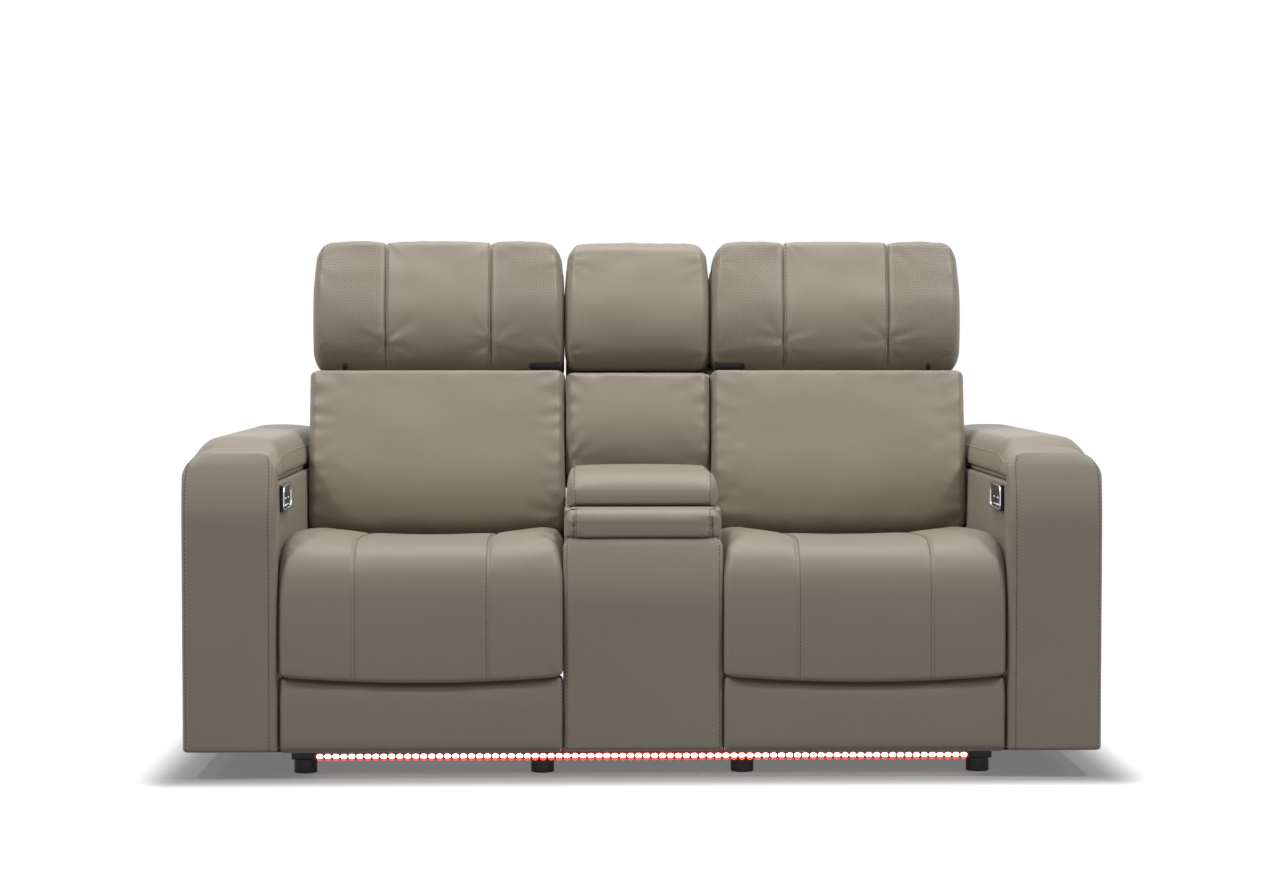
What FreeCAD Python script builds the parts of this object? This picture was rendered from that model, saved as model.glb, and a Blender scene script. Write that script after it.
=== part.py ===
import FreeCAD, Part
import math
import os
import re
import Sketcher

# Two-seat power cinema recliner with a centre console and two storage arms.
# Millimetres. +X is to the viewer's right, the front faces -Y, +Z is up.
# The origin is on the floor under the middle of the unit. Pieces of the right-hand seat and arm
# are modelled at positive x, and the left-hand ones mirror them. Pieces that lean with the back
# are built upright about the recline pivot, v rearward and u upward, and then tilted.

Vector = FreeCAD.Vector
doc = FreeCAD.newDocument("cinema_recliner")

SIZES = [
    # Whole unit
    ("overall_width", 1900, "across both arms"),
    ("arm_width", 197, "each arm"),
    ("arm_front", -500, "front face of the arms"),
    ("overall_depth", 1000, "front of the arms to the rearmost point of the upright backs"),
    ("rear_stand_off", 20, "upright backs behind the rear of the arms"),
    ("arm_top", 612, "top of the arm body, under its lid"),
    ("console_half_width", 165, "half the width of the console"),
    ("side_gap", 5, "between a seat and the arm"),
    ("console_gap", 4, "between a seat and the console"),
    ("soft_gap", 0.4, "between a soft piece and what carries it"),
    ("face_gap", 1, "between flat moving faces side by side"),
    # Base frame
    ("foot_height", 28, "feet under the rails"),
    ("foot_radius", 24, "feet under the rails"),
    ("rail_height", 30, "rails of the base frame"),
    ("rail_width", 30, "cross rails of the base frame"),
    ("front_rail_rear", -370, "rear side of the front cross rail"),
    ("rear_rail_front", 400, "front side of the rear cross rail"),
    ("cross_rail_reach", 930, "half the length of the rear cross rail"),
    ("side_rail_width", 56, "side rails under each seat"),
    ("side_rail_inset", 13, "side rail from the side of the seat"),
    ("arm_rail_front", -300, "front side of the short rail under each arm"),
    # Lit strip and power supply
    ("strip_half_length", 686, "lit strip from the middle"),
    ("strip_middle_half", 182, "middle section of the lit strip"),
    ("strip_depth", 10, "front to back"),
    ("strip_bottom", 29, "above the floor"),
    ("strip_top", 50, "above the floor"),
    ("supply_length", 190, "power supply, front to back"),
    ("supply_width", 90, "power supply"),
    ("supply_height", 30, "power supply"),
    ("inlet_width", 24, "inlet of the power supply"),
    # Guides that the seat slides on
    ("stand_thick", 6, "upright plates"),
    ("stand_inset", 27, "upright plate from the side of the seat"),
    ("stand_front", -300, "front end of stands and guides"),
    ("stand_rear", 180, "rear end of stands and guides"),
    ("guide_width", 16, "guide bar"),
    ("guide_height", 14, "guide bar"),
    ("guide_top", 314, "top of the guide bar"),
    ("runner_width", 32, "runner block"),
    ("runner_length", 70, "runner block, along the guide"),
    ("runner_front", -150, "front end of the front runner"),
    ("runner_rear", 165, "rear end of the rear runner"),
    ("runner_gap", 0.1, "each side of the guide and above it"),
    # Seat frame
    ("seat_frame_front", -395, "front of the front rail"),
    ("seat_frame_rear", 45, "rear of the rear rail"),
    ("seat_rail_bottom", 330, "underside of the seat rails"),
    ("seat_rail_top", 372, "top of the seat rails"),
    ("seat_rail_width", 25, "seat rails"),
    ("seat_side_inset", 18, "side rail from the side of the seat"),
    # Recline pivot and its slotted post
    ("pivot_y", 110, "recline pivot"),
    ("pivot_z", 300, "recline pivot"),
    ("pivot_radius", 8, "recline pivot pin"),
    ("plate_thick", 4, "pivot plates"),
    ("eye_margin", 10, "plate outside a bore"),
    ("running_gap", 0.06, "radial clearance of pins and rods"),
    ("guide_pin_reach", 123, "recline pivot to the guide pin"),
    ("guide_pin_angle", 19, "guide pin forward of straight up"),
    ("guide_pin_radius", 6, "pin in the slotted post"),
    ("slot_gap", 1, "each side of the pin in the slotted post"),
    ("post_half_depth", 19, "slotted post, front to back"),
    ("slot_length", 26, "slot above and below together"),
    # Footrest
    ("hinge_y", -425, "footrest hinge"),
    ("hinge_z", 380, "footrest hinge"),
    ("hinge_radius", 5, "footrest hinge pin"),
    ("stay_reach", 140, "stay arm, and hinge to stay shaft"),
    ("stay_half_width", 11, "stay arm"),
    ("stay_pin_radius", 4, "pin at the end of the stay arm"),
    ("stay_slot_gap", 0.6, "each side of the stay pin"),
    ("shaft_radius", 9, "torque tube of the stays"),
    ("shaft_wall", 2.5, "torque tube of the stays"),
    ("slot_top_drop", 38, "slot starts below the hinge"),
    ("slot_low_drop", 286, "slot ends below the hinge"),
    ("bracket_half_depth", 15, "slotted bracket either side of its slot"),
    ("hinge_line_inset", 52, "outermost hinge plate from the side of the seat"),
    ("hinge_plate_pitch", 5, "one hinge plate to the next"),
    ("board_thick", 14, "footrest board"),
    ("board_inset", 24, "footrest board from the side of the seat"),
    ("footrest_bottom", 64, "lower edge of the footrest"),
    ("footrest_crease", 199, "crease across the footrest pad"),
    ("channel_lead", 40, "full channel depth starts this far below the top of the leg rest pad"),
    ("pad_front", -495, "front of the footrest pad and the roll"),
    ("roll_bottom", 395, "underside of the front roll"),
    # Cushions of the seat
    ("seat_cushion_front", -400, "front end of the seat cushion"),
    ("seat_cushion_rear", 42, "rear end of the seat cushion"),
    ("seat_cushion_bottom", 376.4, "underside of the seat cushion"),
    ("seat_side_top", 448, "side edge of the seat top"),
    ("bolster_crown", 26, "rise of the side panels of the seat"),
    ("centre_crown", 14, "rise of the centre panel of the seat"),
    ("seat_seam_inset", 152, "channel from the side of the seat"),
    ("side_bulge", 5, "fullness of a cushion's sides"),
    ("end_draw", 12, "cushion drawn in at its ends"),
    ("spring_radius", 1.9, "sinuous spring wire"),
    ("spring_turn", 15, "radius of a turn of the wire"),
    ("spring_half_span", 16, "straight run each side of the middle"),
    ("spring_turns", 14, "turns of each wire"),
    ("spring_count", 5, "wires in each seat"),
    # Seat actuator
    ("actuator_z", 200, "axis of the actuator"),
    ("actuator_rod_radius", 10, "rod"),
    ("actuator_tube_radius", 17, "tube"),
    ("actuator_tube_front", -200, "open end of the tube"),
    ("actuator_rod_end", -90, "end of the rod in the tube"),
    ("actuator_bore_end", 0, "closed end of the bore"),
    ("motor_size", 58, "motor housing, across and down"),
    ("clevis_half", 15, "half the size of the rod's foot"),
    # Back, measured along the leaning back from the recline pivot
    ("back_lean", 13, "degrees behind upright"),
    ("back_board_thick", 18, "board of the back"),
    ("back_board_face", -4, "front of the board, behind the pivot line"),
    ("back_board_low", 142, "lower edge of the board"),
    ("back_front", -104, "front edge line of the back cushion"),
    ("back_crown", 16, "rise of the back cushion"),
    ("back_low", 156, "lower edge of the back cushion"),
    ("back_high", 532, "upper edge of the back cushion"),
    ("shell_wall", 12, "walls of the back shell"),
    ("shell_high_depth", 229, "rear of the back shell at its upper edge"),
    ("shell_low", 150, "lower edge of the back shell"),
    ("side_plate_depth", 26, "steel side plates of the back"),
    # Head part
    ("head_pivot_v", -50, "headrest pivot"),
    ("head_pivot_u", 551, "headrest pivot"),
    ("head_pin_radius", 4, "headrest pivot pin"),
    ("head_line_inset", 70, "headrest plates from the side of the seat"),
    ("head_motor_radius", 11, "headrest gearmotor"),
    ("head_motor_length", 60, "headrest gearmotor"),
    ("head_front", -121, "front of the head cushion"),
    ("head_low", 545, "lowest point of the head cushion"),
    ("head_high", 836, "top of the head cushion"),
    ("head_round", 75, "roll under the head cushion"),
    ("head_top_round", 50, "top edge of the head cushion"),
    ("notch_front", -69, "front of the hollow for the headrest plates"),
    ("notch_high", 575, "top of the hollow for the headrest plates"),
    ("head_board_thick", 12, "board in the head part"),
    ("head_board_high", 815, "top of the board in the head part"),
    ("head_shell_depth", 205, "rear of the head part at its lower edge"),
    ("head_shell_taper", 55, "head part thinner at its top"),
    ("head_shell_low", 547, "lower edge of the rear of the head part"),
    ("head_seam_inset", 168, "seam of the head cushion from its side"),
    ("head_seam_reach", 24, "width that a head seam draws in, each side of it"),
    ("console_head_notch", 26, "height of the notch under the console head cushion"),
    # Arms
    ("pad_thick", 15, "padding and cover on boards"),
    ("board_wall", 15, "boards of arms and console"),
    ("front_panel_thick", 40, "front panel of an arm"),
    ("front_panel_top", 676, "top of the front panel"),
    ("outer_corner", 55, "outer top corner of the front panel"),
    ("inner_corner", 40, "inner top corner of the front panel"),
    ("arm_floor_top", 482, "floor of the arm storage"),
    ("lid_gap", 8, "under a lid"),
    ("arm_lid_edge", 665, "side seam of the arm lid"),
    ("arm_lid_crown", 34, "rise of the arm lid above its seam"),
    ("lid_board", 10, "board under a lid"),
    ("lid_inset", 3, "arm lid from the side of the arm"),
    ("lid_pin_radius", 3, "pin of a lid hinge"),
    ("lid_pin_inset", 9, "arm lid hinge from the outer side of the arm"),
    ("leaf_reach", 20, "hinge leaf inward from its pin"),
    ("knuckle_radius", 6, "knuckle of a lid hinge"),
    ("knuckle_length", 50, "knuckle of a lid hinge"),
    ("knuckle_inset", 120, "knuckle from the end of the lid"),
    # Control panel
    ("panel_thick", 8, "control panel"),
    ("panel_front", -440, "control panel"),
    ("panel_rear", -300, "control panel"),
    ("panel_low", 550, "control panel"),
    ("panel_high", 604, "control panel"),
    ("pocket_depth", 6.5, "pockets of the control panel"),
    ("key_proud", 1.5, "a key above the panel"),
    ("key_depth", 4, "a key below the panel"),
    ("key_gap", 0.8, "around a key"),
    ("recline_key_length", 44, "recline rocker"),
    ("head_key_length", 34, "headrest rocker"),
    ("key_height", 18, "rockers"),
    ("key_spacing", 8, "between keys and to the ends"),
    ("light_key_radius", 8, "light button"),
    # Console
    ("console_front_face", -440, "front of the console body"),
    ("console_rear", 440, "rear of the console body"),
    ("console_top", 556, "top of the console body"),
    ("console_floor_top", 442, "floor of the console storage"),
    ("console_panel_front", -490, "front of the console's front panel"),
    ("console_panel_half", 158, "half the front panel"),
    ("console_panel_top", 496, "top of the front panel"),
    ("console_panel_corner", 30, "top corners of the front panel"),
    ("band_front", -482, "front of the band above the front panel"),
    ("console_mouth_front", -400, "front of the storage"),
    ("console_mouth_rear", -55, "rear of the storage"),
    ("console_lid_half", 156, "half the lid"),
    ("console_lid_front", -392, "front of the lid"),
    ("console_lid_rear", -46, "rear of the lid"),
    ("console_lid_edge", 606, "side seam of the lid"),
    ("console_lid_crown", 22, "rise of the lid above its seam"),
    ("console_back_board_high", 800, "upper edge of its board"),
    ("console_shell_depth", 290, "rear of the console back at its lower edge"),
    ("console_shell_taper", 130, "console back thinner at its top"),
]

sheet = doc.addObject("Spreadsheet::Sheet", "Sizes")
for row, (alias, value, note) in enumerate(SIZES, start=1):
    sheet.set("A%d" % row, alias)
    sheet.set("B%d" % row, str(value))
    sheet.setAlias("B%d" % row, alias)
    sheet.set("C%d" % row, note)
doc.recompute()

LAYOUT = [
    # Side to side
    ("half_width", "overall_width / 2"),
    ("arm_inner", "half_width - arm_width"),
    ("seat_inner", "console_half_width + console_gap"),
    ("seat_outer", "arm_inner - side_gap"),
    ("seat_middle", "(seat_inner + seat_outer) / 2"),
    ("seam_inner", "seat_inner + seat_seam_inset"),
    ("seam_outer", "seat_outer - seat_seam_inset"),
    # Base
    ("unit_rear", "arm_front + overall_depth"),
    ("arm_rear", "unit_rear - rear_stand_off"),
    ("base_top", "foot_height + rail_height"),
    ("front_rail_front", "front_rail_rear - rail_width"),
    ("rear_rail_rear", "rear_rail_front + rail_width"),
    ("strip_front", "front_rail_front - strip_depth"),
    ("guide_bottom", "guide_top - guide_height"),
    # Pivots
    ("guide_pin_y", "pivot_y - guide_pin_reach * sin(guide_pin_angle * 1deg)"),
    ("guide_pin_z", "pivot_z + guide_pin_reach * cos(guide_pin_angle * 1deg)"),
    ("guide_pin_lean", "guide_pin_angle + back_lean"),
    ("guide_pin_v", "0 - guide_pin_reach * sin(guide_pin_lean * 1deg)"),
    ("guide_pin_u", "guide_pin_reach * cos(guide_pin_lean * 1deg)"),
    ("slot_low", "guide_pin_z - slot_length / 2"),
    ("slot_high", "guide_pin_z + slot_length / 2"),
    ("shaft_z", "hinge_z - stay_reach"),
    ("stay_pin_z", "shaft_z - stay_reach"),
    ("slot_half", "stay_pin_radius + stay_slot_gap"),
    ("bracket_rear", "hinge_y + bracket_half_depth"),
    ("board_rear", "hinge_y - bracket_half_depth"),
    ("board_front", "board_rear - board_thick"),
    ("pad_rear", "board_front - soft_gap"),
    # Back
    ("back_board_rear", "back_board_face + back_board_thick"),
    ("back_cushion_rear", "back_board_face - soft_gap"),
    ("head_board_face", "back_board_face - 4"),
    ("head_board_rear", "head_board_face + head_board_thick"),
    ("head_shell_face", "head_board_rear + soft_gap"),
    ("shell_high", "back_high + 8"),
    ("shell_low_depth", "(unit_rear - pivot_y - shell_low * sin(back_lean * 1deg)) / cos(back_lean * 1deg)"),
    # Arms and console
    ("arm_board_inner", "arm_inner + pad_thick"),
    ("arm_board_outer", "half_width - pad_thick"),
    ("arm_bin_inner", "arm_board_inner + board_wall"),
    ("arm_bin_outer", "arm_board_outer - board_wall"),
    ("arm_body_front", "arm_front + front_panel_thick"),
    ("arm_bin_front", "arm_body_front + board_wall"),
    ("arm_board_rear", "arm_rear - pad_thick"),
    ("arm_bin_rear", "arm_board_rear - board_wall"),
    ("arm_lid_bottom", "arm_top + lid_gap"),
    ("arm_lid_inner", "arm_inner + lid_inset"),
    ("arm_lid_outer", "half_width - lid_inset"),
    ("arm_lid_front", "arm_body_front + face_gap"),
    ("console_bin_half", "console_half_width - pad_thick - board_wall"),
    ("console_lid_bottom", "console_top + lid_gap"),
    ("console_back_rise", "console_top + soft_gap - pivot_z"),
    ("console_back_low",
     "(console_back_rise + back_board_rear * sin(back_lean * 1deg)) "
     "/ cos(back_lean * 1deg)"),
]

layout = doc.addObject("App::FeaturePython", "Layout")
SIZE_NAMES = {alias for alias, value, note in SIZES}
LAYOUT_NAMES = set()


def bound(text):
    """The expression with each size's name led by the object that holds it."""
    def lead(match):
        word = match.group(0)
        if word in SIZE_NAMES:
            return "Sizes." + word
        if word in LAYOUT_NAMES:
            return "Layout." + word
        return word
    return re.sub(r"[a-z_]+", lead, text)


for alias, text in LAYOUT:
    layout.addProperty("App::PropertyFloat", alias, "Layout", "")
    layout.setExpression(alias, bound(text))
    LAYOUT_NAMES.add(alias)
doc.recompute()


def size(name):
    """A size or a worked-out place, as a number."""
    if name in LAYOUT_NAMES:
        return getattr(layout, name)
    return float(sheet.get(name))


NODES = []


def keep(node, piece):
    """Names a finished sub-part."""
    piece.Label = node
    NODES.append(piece)
    return piece


def mirror(node, source):
    """The left-hand twin of a right-hand sub-part."""
    twin = doc.addObject("Part::Mirroring", "Twin_" + node)
    twin.Source = source
    twin.Normal = Vector(1, 0, 0)
    return keep(node, twin)


def pair(node, source):
    """The right-hand sub-part and its left-hand twin."""
    keep(node + "_right", source)
    return source, mirror(node + "_left", source)


def box(name, x, y, z):
    """A board, bar or block between two places along each axis."""
    piece = doc.addObject("Part::Box", name)
    for axis, side, span in zip("xyz", ("Length", "Width", "Height"), (x, y, z)):
        low, high = span
        piece.setExpression("Placement.Base." + axis, bound(low))
        piece.setExpression(side, bound("(%s) - (%s)" % (high, low)))
    return piece


def cylinder(name, axis, start, end, across, radius):
    """A rod or bore along an axis, from start to end, centred at the other two places."""
    piece = doc.addObject("Part::Cylinder", name)
    turns = {
        "x": FreeCAD.Rotation(Vector(0, 1, 0), 90),
        "y": FreeCAD.Rotation(Vector(-1, 0, 0), 90),
        "z": FreeCAD.Rotation(),
    }
    piece.Placement = FreeCAD.Placement(Vector(), turns[axis])
    piece.setExpression("Placement.Base." + axis, bound(start))
    for other, place in zip([a for a in "xyz" if a != axis], across):
        piece.setExpression("Placement.Base." + other, bound(place))
    piece.setExpression("Height", bound("(%s) - (%s)" % (end, start)))
    piece.setExpression("Radius", bound(radius))
    return piece


def fuse(name, pieces):
    """Pieces welded or glued into one."""
    whole = doc.addObject("Part::MultiFuse", name)
    whole.Shapes = pieces
    whole.Refine = True
    return whole


def cut(name, base, tool):
    """A piece with a hole or pocket in it."""
    whole = doc.addObject("Part::Cut", name)
    whole.Base = base
    whole.Tool = tool
    return whole


def group(name, pieces):
    """Separate solids of one sub-part."""
    whole = doc.addObject("Part::Compound", name)
    whole.Links = pieces
    return whole


def leaned(name, pieces):
    """Pieces built upright about the recline pivot, tilted back with it."""
    whole = group(name, pieces)
    whole.Placement = FreeCAD.Placement(Vector(), FreeCAD.Rotation(Vector(-1, 0, 0), size("back_lean")))
    whole.setExpression("Placement.Base.y", bound("pivot_y"))
    whole.setExpression("Placement.Base.z", bound("pivot_z"))
    whole.setExpression("Placement.Rotation.Angle", bound("back_lean"))
    return whole


def origin_plane(body, role):
    """One of a body's own origin planes."""
    return next(f for f in body.Origin.OriginFeatures if f.Role == role)


def outline(body, name, points):
    """A closed sketch on the side plane, each corner tied to its two expressions (y, z)."""
    sketch = body.newObject("Sketcher::SketchObject", name)
    sketch.AttachmentSupport = [(origin_plane(body, "YZ_Plane"), "")]
    sketch.MapMode = "FlatFace"
    scratch = doc.addObject("App::FeaturePython", name + "Corners")
    places = []
    for n, (y, z) in enumerate(points):
        for axis, text in (("Y", y), ("Z", z)):
            scratch.addProperty("App::PropertyFloat", "%s%d" % (axis, n), "Corners", "")
            scratch.setExpression("%s%d" % (axis, n), bound(text))
    scratch.recompute()
    for n in range(len(points)):
        places.append(Vector(getattr(scratch, "Y%d" % n), getattr(scratch, "Z%d" % n), 0))
    count = len(places)
    for n in range(count):
        sketch.addGeometry(Part.LineSegment(places[n], places[(n + 1) % count]), False)
    for n in range(count):
        sketch.addConstraint(Sketcher.Constraint("Coincident", n, 2, (n + 1) % count, 1))
    for n in range(count):
        for kind, axis, value in (("DistanceX", "Y", places[n].x), ("DistanceY", "Z", places[n].y)):
            row = sketch.addConstraint(Sketcher.Constraint(kind, -1, 1, n, 1, value))
            sketch.setExpression("Constraints[%d]" % row, "%s.%s%d" % (scratch.Name, axis, n))
    return sketch


def plate(name, x, points):
    """A flat plate across X with the given outline."""
    low, high = x
    body = doc.addObject("PartDesign::Body", name)
    sketch = outline(body, name + "Outline", points)
    pad = body.newObject("PartDesign::Pad", name + "Pad")
    pad.Profile = sketch
    pad.setExpression("Length", bound("(%s) - (%s)" % (high, low)))
    body.setExpression("Placement.Base.x", bound(low))
    return body


def soft(name, shape, placement=None):
    """A padded solid made of lofted sections."""
    piece = doc.addObject("Part::Feature", name)
    piece.Shape = shape
    if placement is not None:
        piece.Placement = placement
    return piece


def arc(start, end, out):
    """An arc from start to end whose middle stands off the chord by the vector out."""
    return Part.Arc(start, (start + end) * 0.5 + out, end).toShape()


def line(start, end):
    return Part.LineSegment(start, end).toShape()


def face_section(place, side_low, side_high, rear, corner, bulge, seams, rises, up):
    """One cross-section of a pad: flat rear, full sides, and a face of one arc per panel.

    place maps a place across and a place along the face's normal to a point, up is +1 or -1 along
    that normal, seams lists the valleys as (across, height), rises the crown of each panel.
    """
    across = place(1, 0) - place(0, 0)
    normal = (place(0, 1) - place(0, 0)) * up
    marks = [(side_low, corner)] + seams + [(side_high, corner)]
    edges = [line(place(side_low, rear), place(side_high, rear))]
    edges.append(arc(place(side_high, rear), place(side_high, corner), across * bulge))
    for n in range(len(marks) - 1, 0, -1):
        edges.append(arc(place(*marks[n]), place(*marks[n - 1]), normal * rises[n - 1]))
    edges.append(arc(place(side_low, corner), place(side_low, rear), across * -bulge))
    return Part.Wire(edges)


def loft(sections):
    return Part.makeLoft(sections, True, True)


# Places that several sub-parts share, across the seat

def hinge_plane(number):
    """Inner-side span of the numbered hinge plate, counted from the side of the seat."""
    low = "seat_inner + hinge_line_inset + %d * hinge_plate_pitch" % number
    return (low, low + " + plate_thick")


def hinge_plane_outer(number):
    """The same plate at the other side of the seat."""
    high = "seat_outer - hinge_line_inset - %d * hinge_plate_pitch" % number
    return (high + " - plate_thick", high)


BOTH_PLANES = (hinge_plane, hinge_plane_outer)
# Recline plates follow the footrest plates inward, so that none share a plane
PIVOT_EAR, PIVOT_PLATE, PIVOT_POST = 0, 1, 2
HINGE_EAR, HINGE_BRACKET, HINGE_STAY, HINGE_HANGER = 0, 1, 2, 3


def outer_span(first, last, side):
    """Span from one numbered plate to another, for a pin that joins them."""
    spans = [side(first), side(last)]
    if side is hinge_plane:
        return (spans[0][0], spans[1][1])
    return (spans[1][0], spans[0][1])


def beyond(first, last, side):
    """Span from the far face of one plate to the far face of another, for a pin on the first."""
    spans = [side(first), side(last)]
    if side is hinge_plane:
        return (spans[0][1], spans[1][1])
    return (spans[1][0], spans[0][0])


# Base frame

def base_frame():
    """Cross rails, side rails under the seats, and a short rail out under each arm."""
    reach = "cross_rail_reach"
    front_reach = "(seat_outer - side_rail_inset)"
    z = ("foot_height", "base_top")
    arm_rail = ("arm_rail_front", "arm_rail_front + rail_width")
    rails = [
        box("FrontRail", ("0 - " + front_reach, front_reach), ("front_rail_front", "front_rail_rear"), z),
        box("RearRail", ("0 - " + reach, reach), ("rear_rail_front", "rear_rail_rear"), z),
        box("ArmRailRight", (front_reach, reach), arm_rail, z),
        box("ArmRailLeft", ("0 - " + reach, "0 - " + front_reach), arm_rail, z),
    ]
    for name, x in side_rail_spans():
        rails.append(box("SideRail" + name, x, ("front_rail_rear", "rear_rail_front"),
                         ("foot_height", "base_top")))
    keep("base_frame", group("BaseFrame", rails))


def side_rail_spans():
    """The four side rails under the seats."""
    inner = ("seat_inner + side_rail_inset", "seat_inner + side_rail_inset + side_rail_width")
    outer = ("seat_outer - side_rail_inset - side_rail_width", "seat_outer - side_rail_inset")
    spans = [("InnerRight", inner), ("OuterRight", outer)]
    for name, (low, high) in (("InnerLeft", inner), ("OuterLeft", outer)):
        spans.append((name, ("0 - (%s)" % high, "0 - (%s)" % low)))
    return spans


def base_feet():
    half_rail = "side_rail_inset + side_rail_width / 2"
    places = [
        "seat_outer - (%s)" % half_rail,
        "seat_inner + %s" % half_rail,
    ]
    feet = []
    for n, place in enumerate(places):
        for sign in ("", "0 - "):
            x = "%s(%s)" % (sign, place)
            for end, y in (("Front", "front_rail_front + rail_width / 2"),
                           ("Rear", "rear_rail_front + rail_width / 2")):
                feet.append(cylinder("Foot%s%d%s" % (end, n, "L" if sign else "R"), "z", "0",
                                     "foot_height", (x, y), "foot_radius"))
    keep("base_feet", group("BaseFeet", feet))


def led_strip():
    y = ("strip_front", "front_rail_front")
    z = ("strip_bottom", "strip_top")
    sections = [
        box("StripLeft", ("0 - strip_half_length", "0 - strip_middle_half"), y, z),
        box("StripMiddle", ("0 - strip_middle_half", "strip_middle_half"), y, z),
        box("StripRight", ("strip_middle_half", "strip_half_length"), y, z),
    ]
    keep("led_strip", group("LedStrip", sections))


def power_supply():
    half = "supply_width / 2"
    low = "rear_rail_front - supply_length"
    housing = box("SupplyHousing", ("0 - " + half, half), (low, "rear_rail_front"),
                  ("foot_height", "foot_height + supply_height"))
    inlet = box("SupplyInlet", ("0 - inlet_width / 2", "inlet_width / 2"),
                (low + " - face_gap", low + " + 12"),
                ("foot_height + 8", "foot_height + supply_height - 8"))
    keep("power_supply", cut("PowerSupply", housing, inlet))


# Guides, slotted posts and actuator rods

def guide_stands():
    pieces = []
    for side, low in (("Inner", "seat_inner + stand_inset"),
                      ("Outer", "seat_outer - stand_inset - stand_thick")):
        middle = "%s + stand_thick / 2" % low
        run = ("stand_front", "stand_rear")
        pieces.append(box("Stand" + side, (low, low + " + stand_thick"), run,
                          ("base_top", "guide_bottom")))
        pieces.append(box("Guide" + side, (middle + " - guide_width / 2", middle + " + guide_width / 2"),
                          run, ("guide_bottom", "guide_top")))
    for side, plane in (("Inner", hinge_plane), ("Outer", hinge_plane_outer)):
        x = plane(PIVOT_POST)
        front = "guide_pin_y - post_half_depth"
        rear = "guide_pin_y + post_half_depth"
        hollow = "(guide_pin_radius + slot_gap)"
        pieces.append(box("Post" + side, x, (front, rear), ("base_top", "slot_low")))
        pieces.append(box("FrontCheek" + side, x, (front, "guide_pin_y - " + hollow),
                          ("slot_low", "slot_high")))
        pieces.append(box("RearCheek" + side, x, ("guide_pin_y + " + hollow, rear),
                          ("slot_low", "slot_high")))
    keep("guide_stands", group("GuideStands", pieces + [twin_of(piece) for piece in pieces]))


def twin_of(piece):
    """A mirrored copy that stays in the same sub-part."""
    twin = doc.addObject("Part::Mirroring", "Twin" + piece.Name)
    twin.Source = piece
    twin.Normal = Vector(1, 0, 0)
    return twin


def actuator_rods():
    foot = box("RodFoot", ("seat_middle - clevis_half", "seat_middle + clevis_half"),
               ("front_rail_rear - rail_width", "front_rail_rear"),
               ("base_top", "actuator_z + clevis_half"))
    rod = cylinder("Rod", "y", "front_rail_rear - rail_width / 2", "actuator_rod_end",
                   ("seat_middle", "actuator_z"), "actuator_rod_radius")
    one = fuse("RodWithFoot", [foot, rod])
    keep("actuator_rods", group("ActuatorRods", [one, twin_of(one)]))


# Seat

def seat_frame():
    inner = ("seat_inner + seat_side_inset", "seat_inner + seat_side_inset + seat_rail_width")
    outer = ("seat_outer - seat_side_inset - seat_rail_width", "seat_outer - seat_side_inset")
    z = ("seat_rail_bottom", "seat_rail_top")
    run = ("seat_frame_front", "seat_frame_rear")
    between = (inner[1], outer[0])
    pieces = [
        box("SideRailInner", inner, run, z),
        box("SideRailOuter", outer, run, z),
        box("FrontSeatRail", between, ("seat_frame_front", "seat_frame_front + seat_rail_width"), z),
        box("RearSeatRail", between, ("seat_frame_rear - seat_rail_width", "seat_frame_rear"), z),
    ]
    pieces += runners()
    pieces += pivot_ears()
    pieces += footrest_hangers()
    return pair("seat_frame", group("SeatFrame", pieces))


def runners():
    """Four blocks under the side rails that ride on the guide bars."""
    blocks = []
    for side, low in (("Inner", "seat_inner + stand_inset"),
                      ("Outer", "seat_outer - stand_inset - stand_thick")):
        middle = "%s + stand_thick / 2" % low
        for end, y in (("Front", ("runner_front", "runner_front + runner_length")),
                       ("Rear", ("runner_rear - runner_length", "runner_rear"))):
            block = box("Block" + side + end,
                        (middle + " - runner_width / 2", middle + " + runner_width / 2"), y,
                        ("guide_bottom", "seat_rail_bottom"))
            hollow = "(guide_width / 2 + runner_gap)"
            slot = box("Slot" + side + end, (middle + " - " + hollow, middle + " + " + hollow),
                       (y[0] + " - face_gap", y[1] + " + face_gap"),
                       ("guide_bottom - face_gap", "guide_top + runner_gap"))
            blocks.append(cut("Runner" + side + end, block, slot))
    return blocks


def pivot_ears():
    """Plates from the rear of the seat to the recline pivot, each with its pin."""
    ears = []
    for side, plane in (("Inner", hinge_plane), ("Outer", hinge_plane_outer)):
        x = plane(PIVOT_EAR)
        eye = "(pivot_radius + eye_margin)"
        sheet_metal = plate("EarSheet" + side, x, [
            ("seat_frame_rear", "seat_rail_bottom"),
            ("pivot_y - %s / 2" % eye, "pivot_z - %s * 0.8" % eye),
            ("pivot_y + %s / 2" % eye, "pivot_z + %s * 0.8" % eye),
            ("seat_frame_rear", "seat_rail_top"),
        ])
        boss = cylinder("EarBoss" + side, "x", x[0], x[1], ("pivot_y", "pivot_z"), eye)
        low, high = outer_span(PIVOT_EAR, PIVOT_PLATE, plane)
        pin = cylinder("PivotPin" + side, "x", low, high, ("pivot_y", "pivot_z"), "pivot_radius")
        ears.append(fuse("PivotEar" + side, [sheet_metal, boss, pin]))
    return ears


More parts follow.
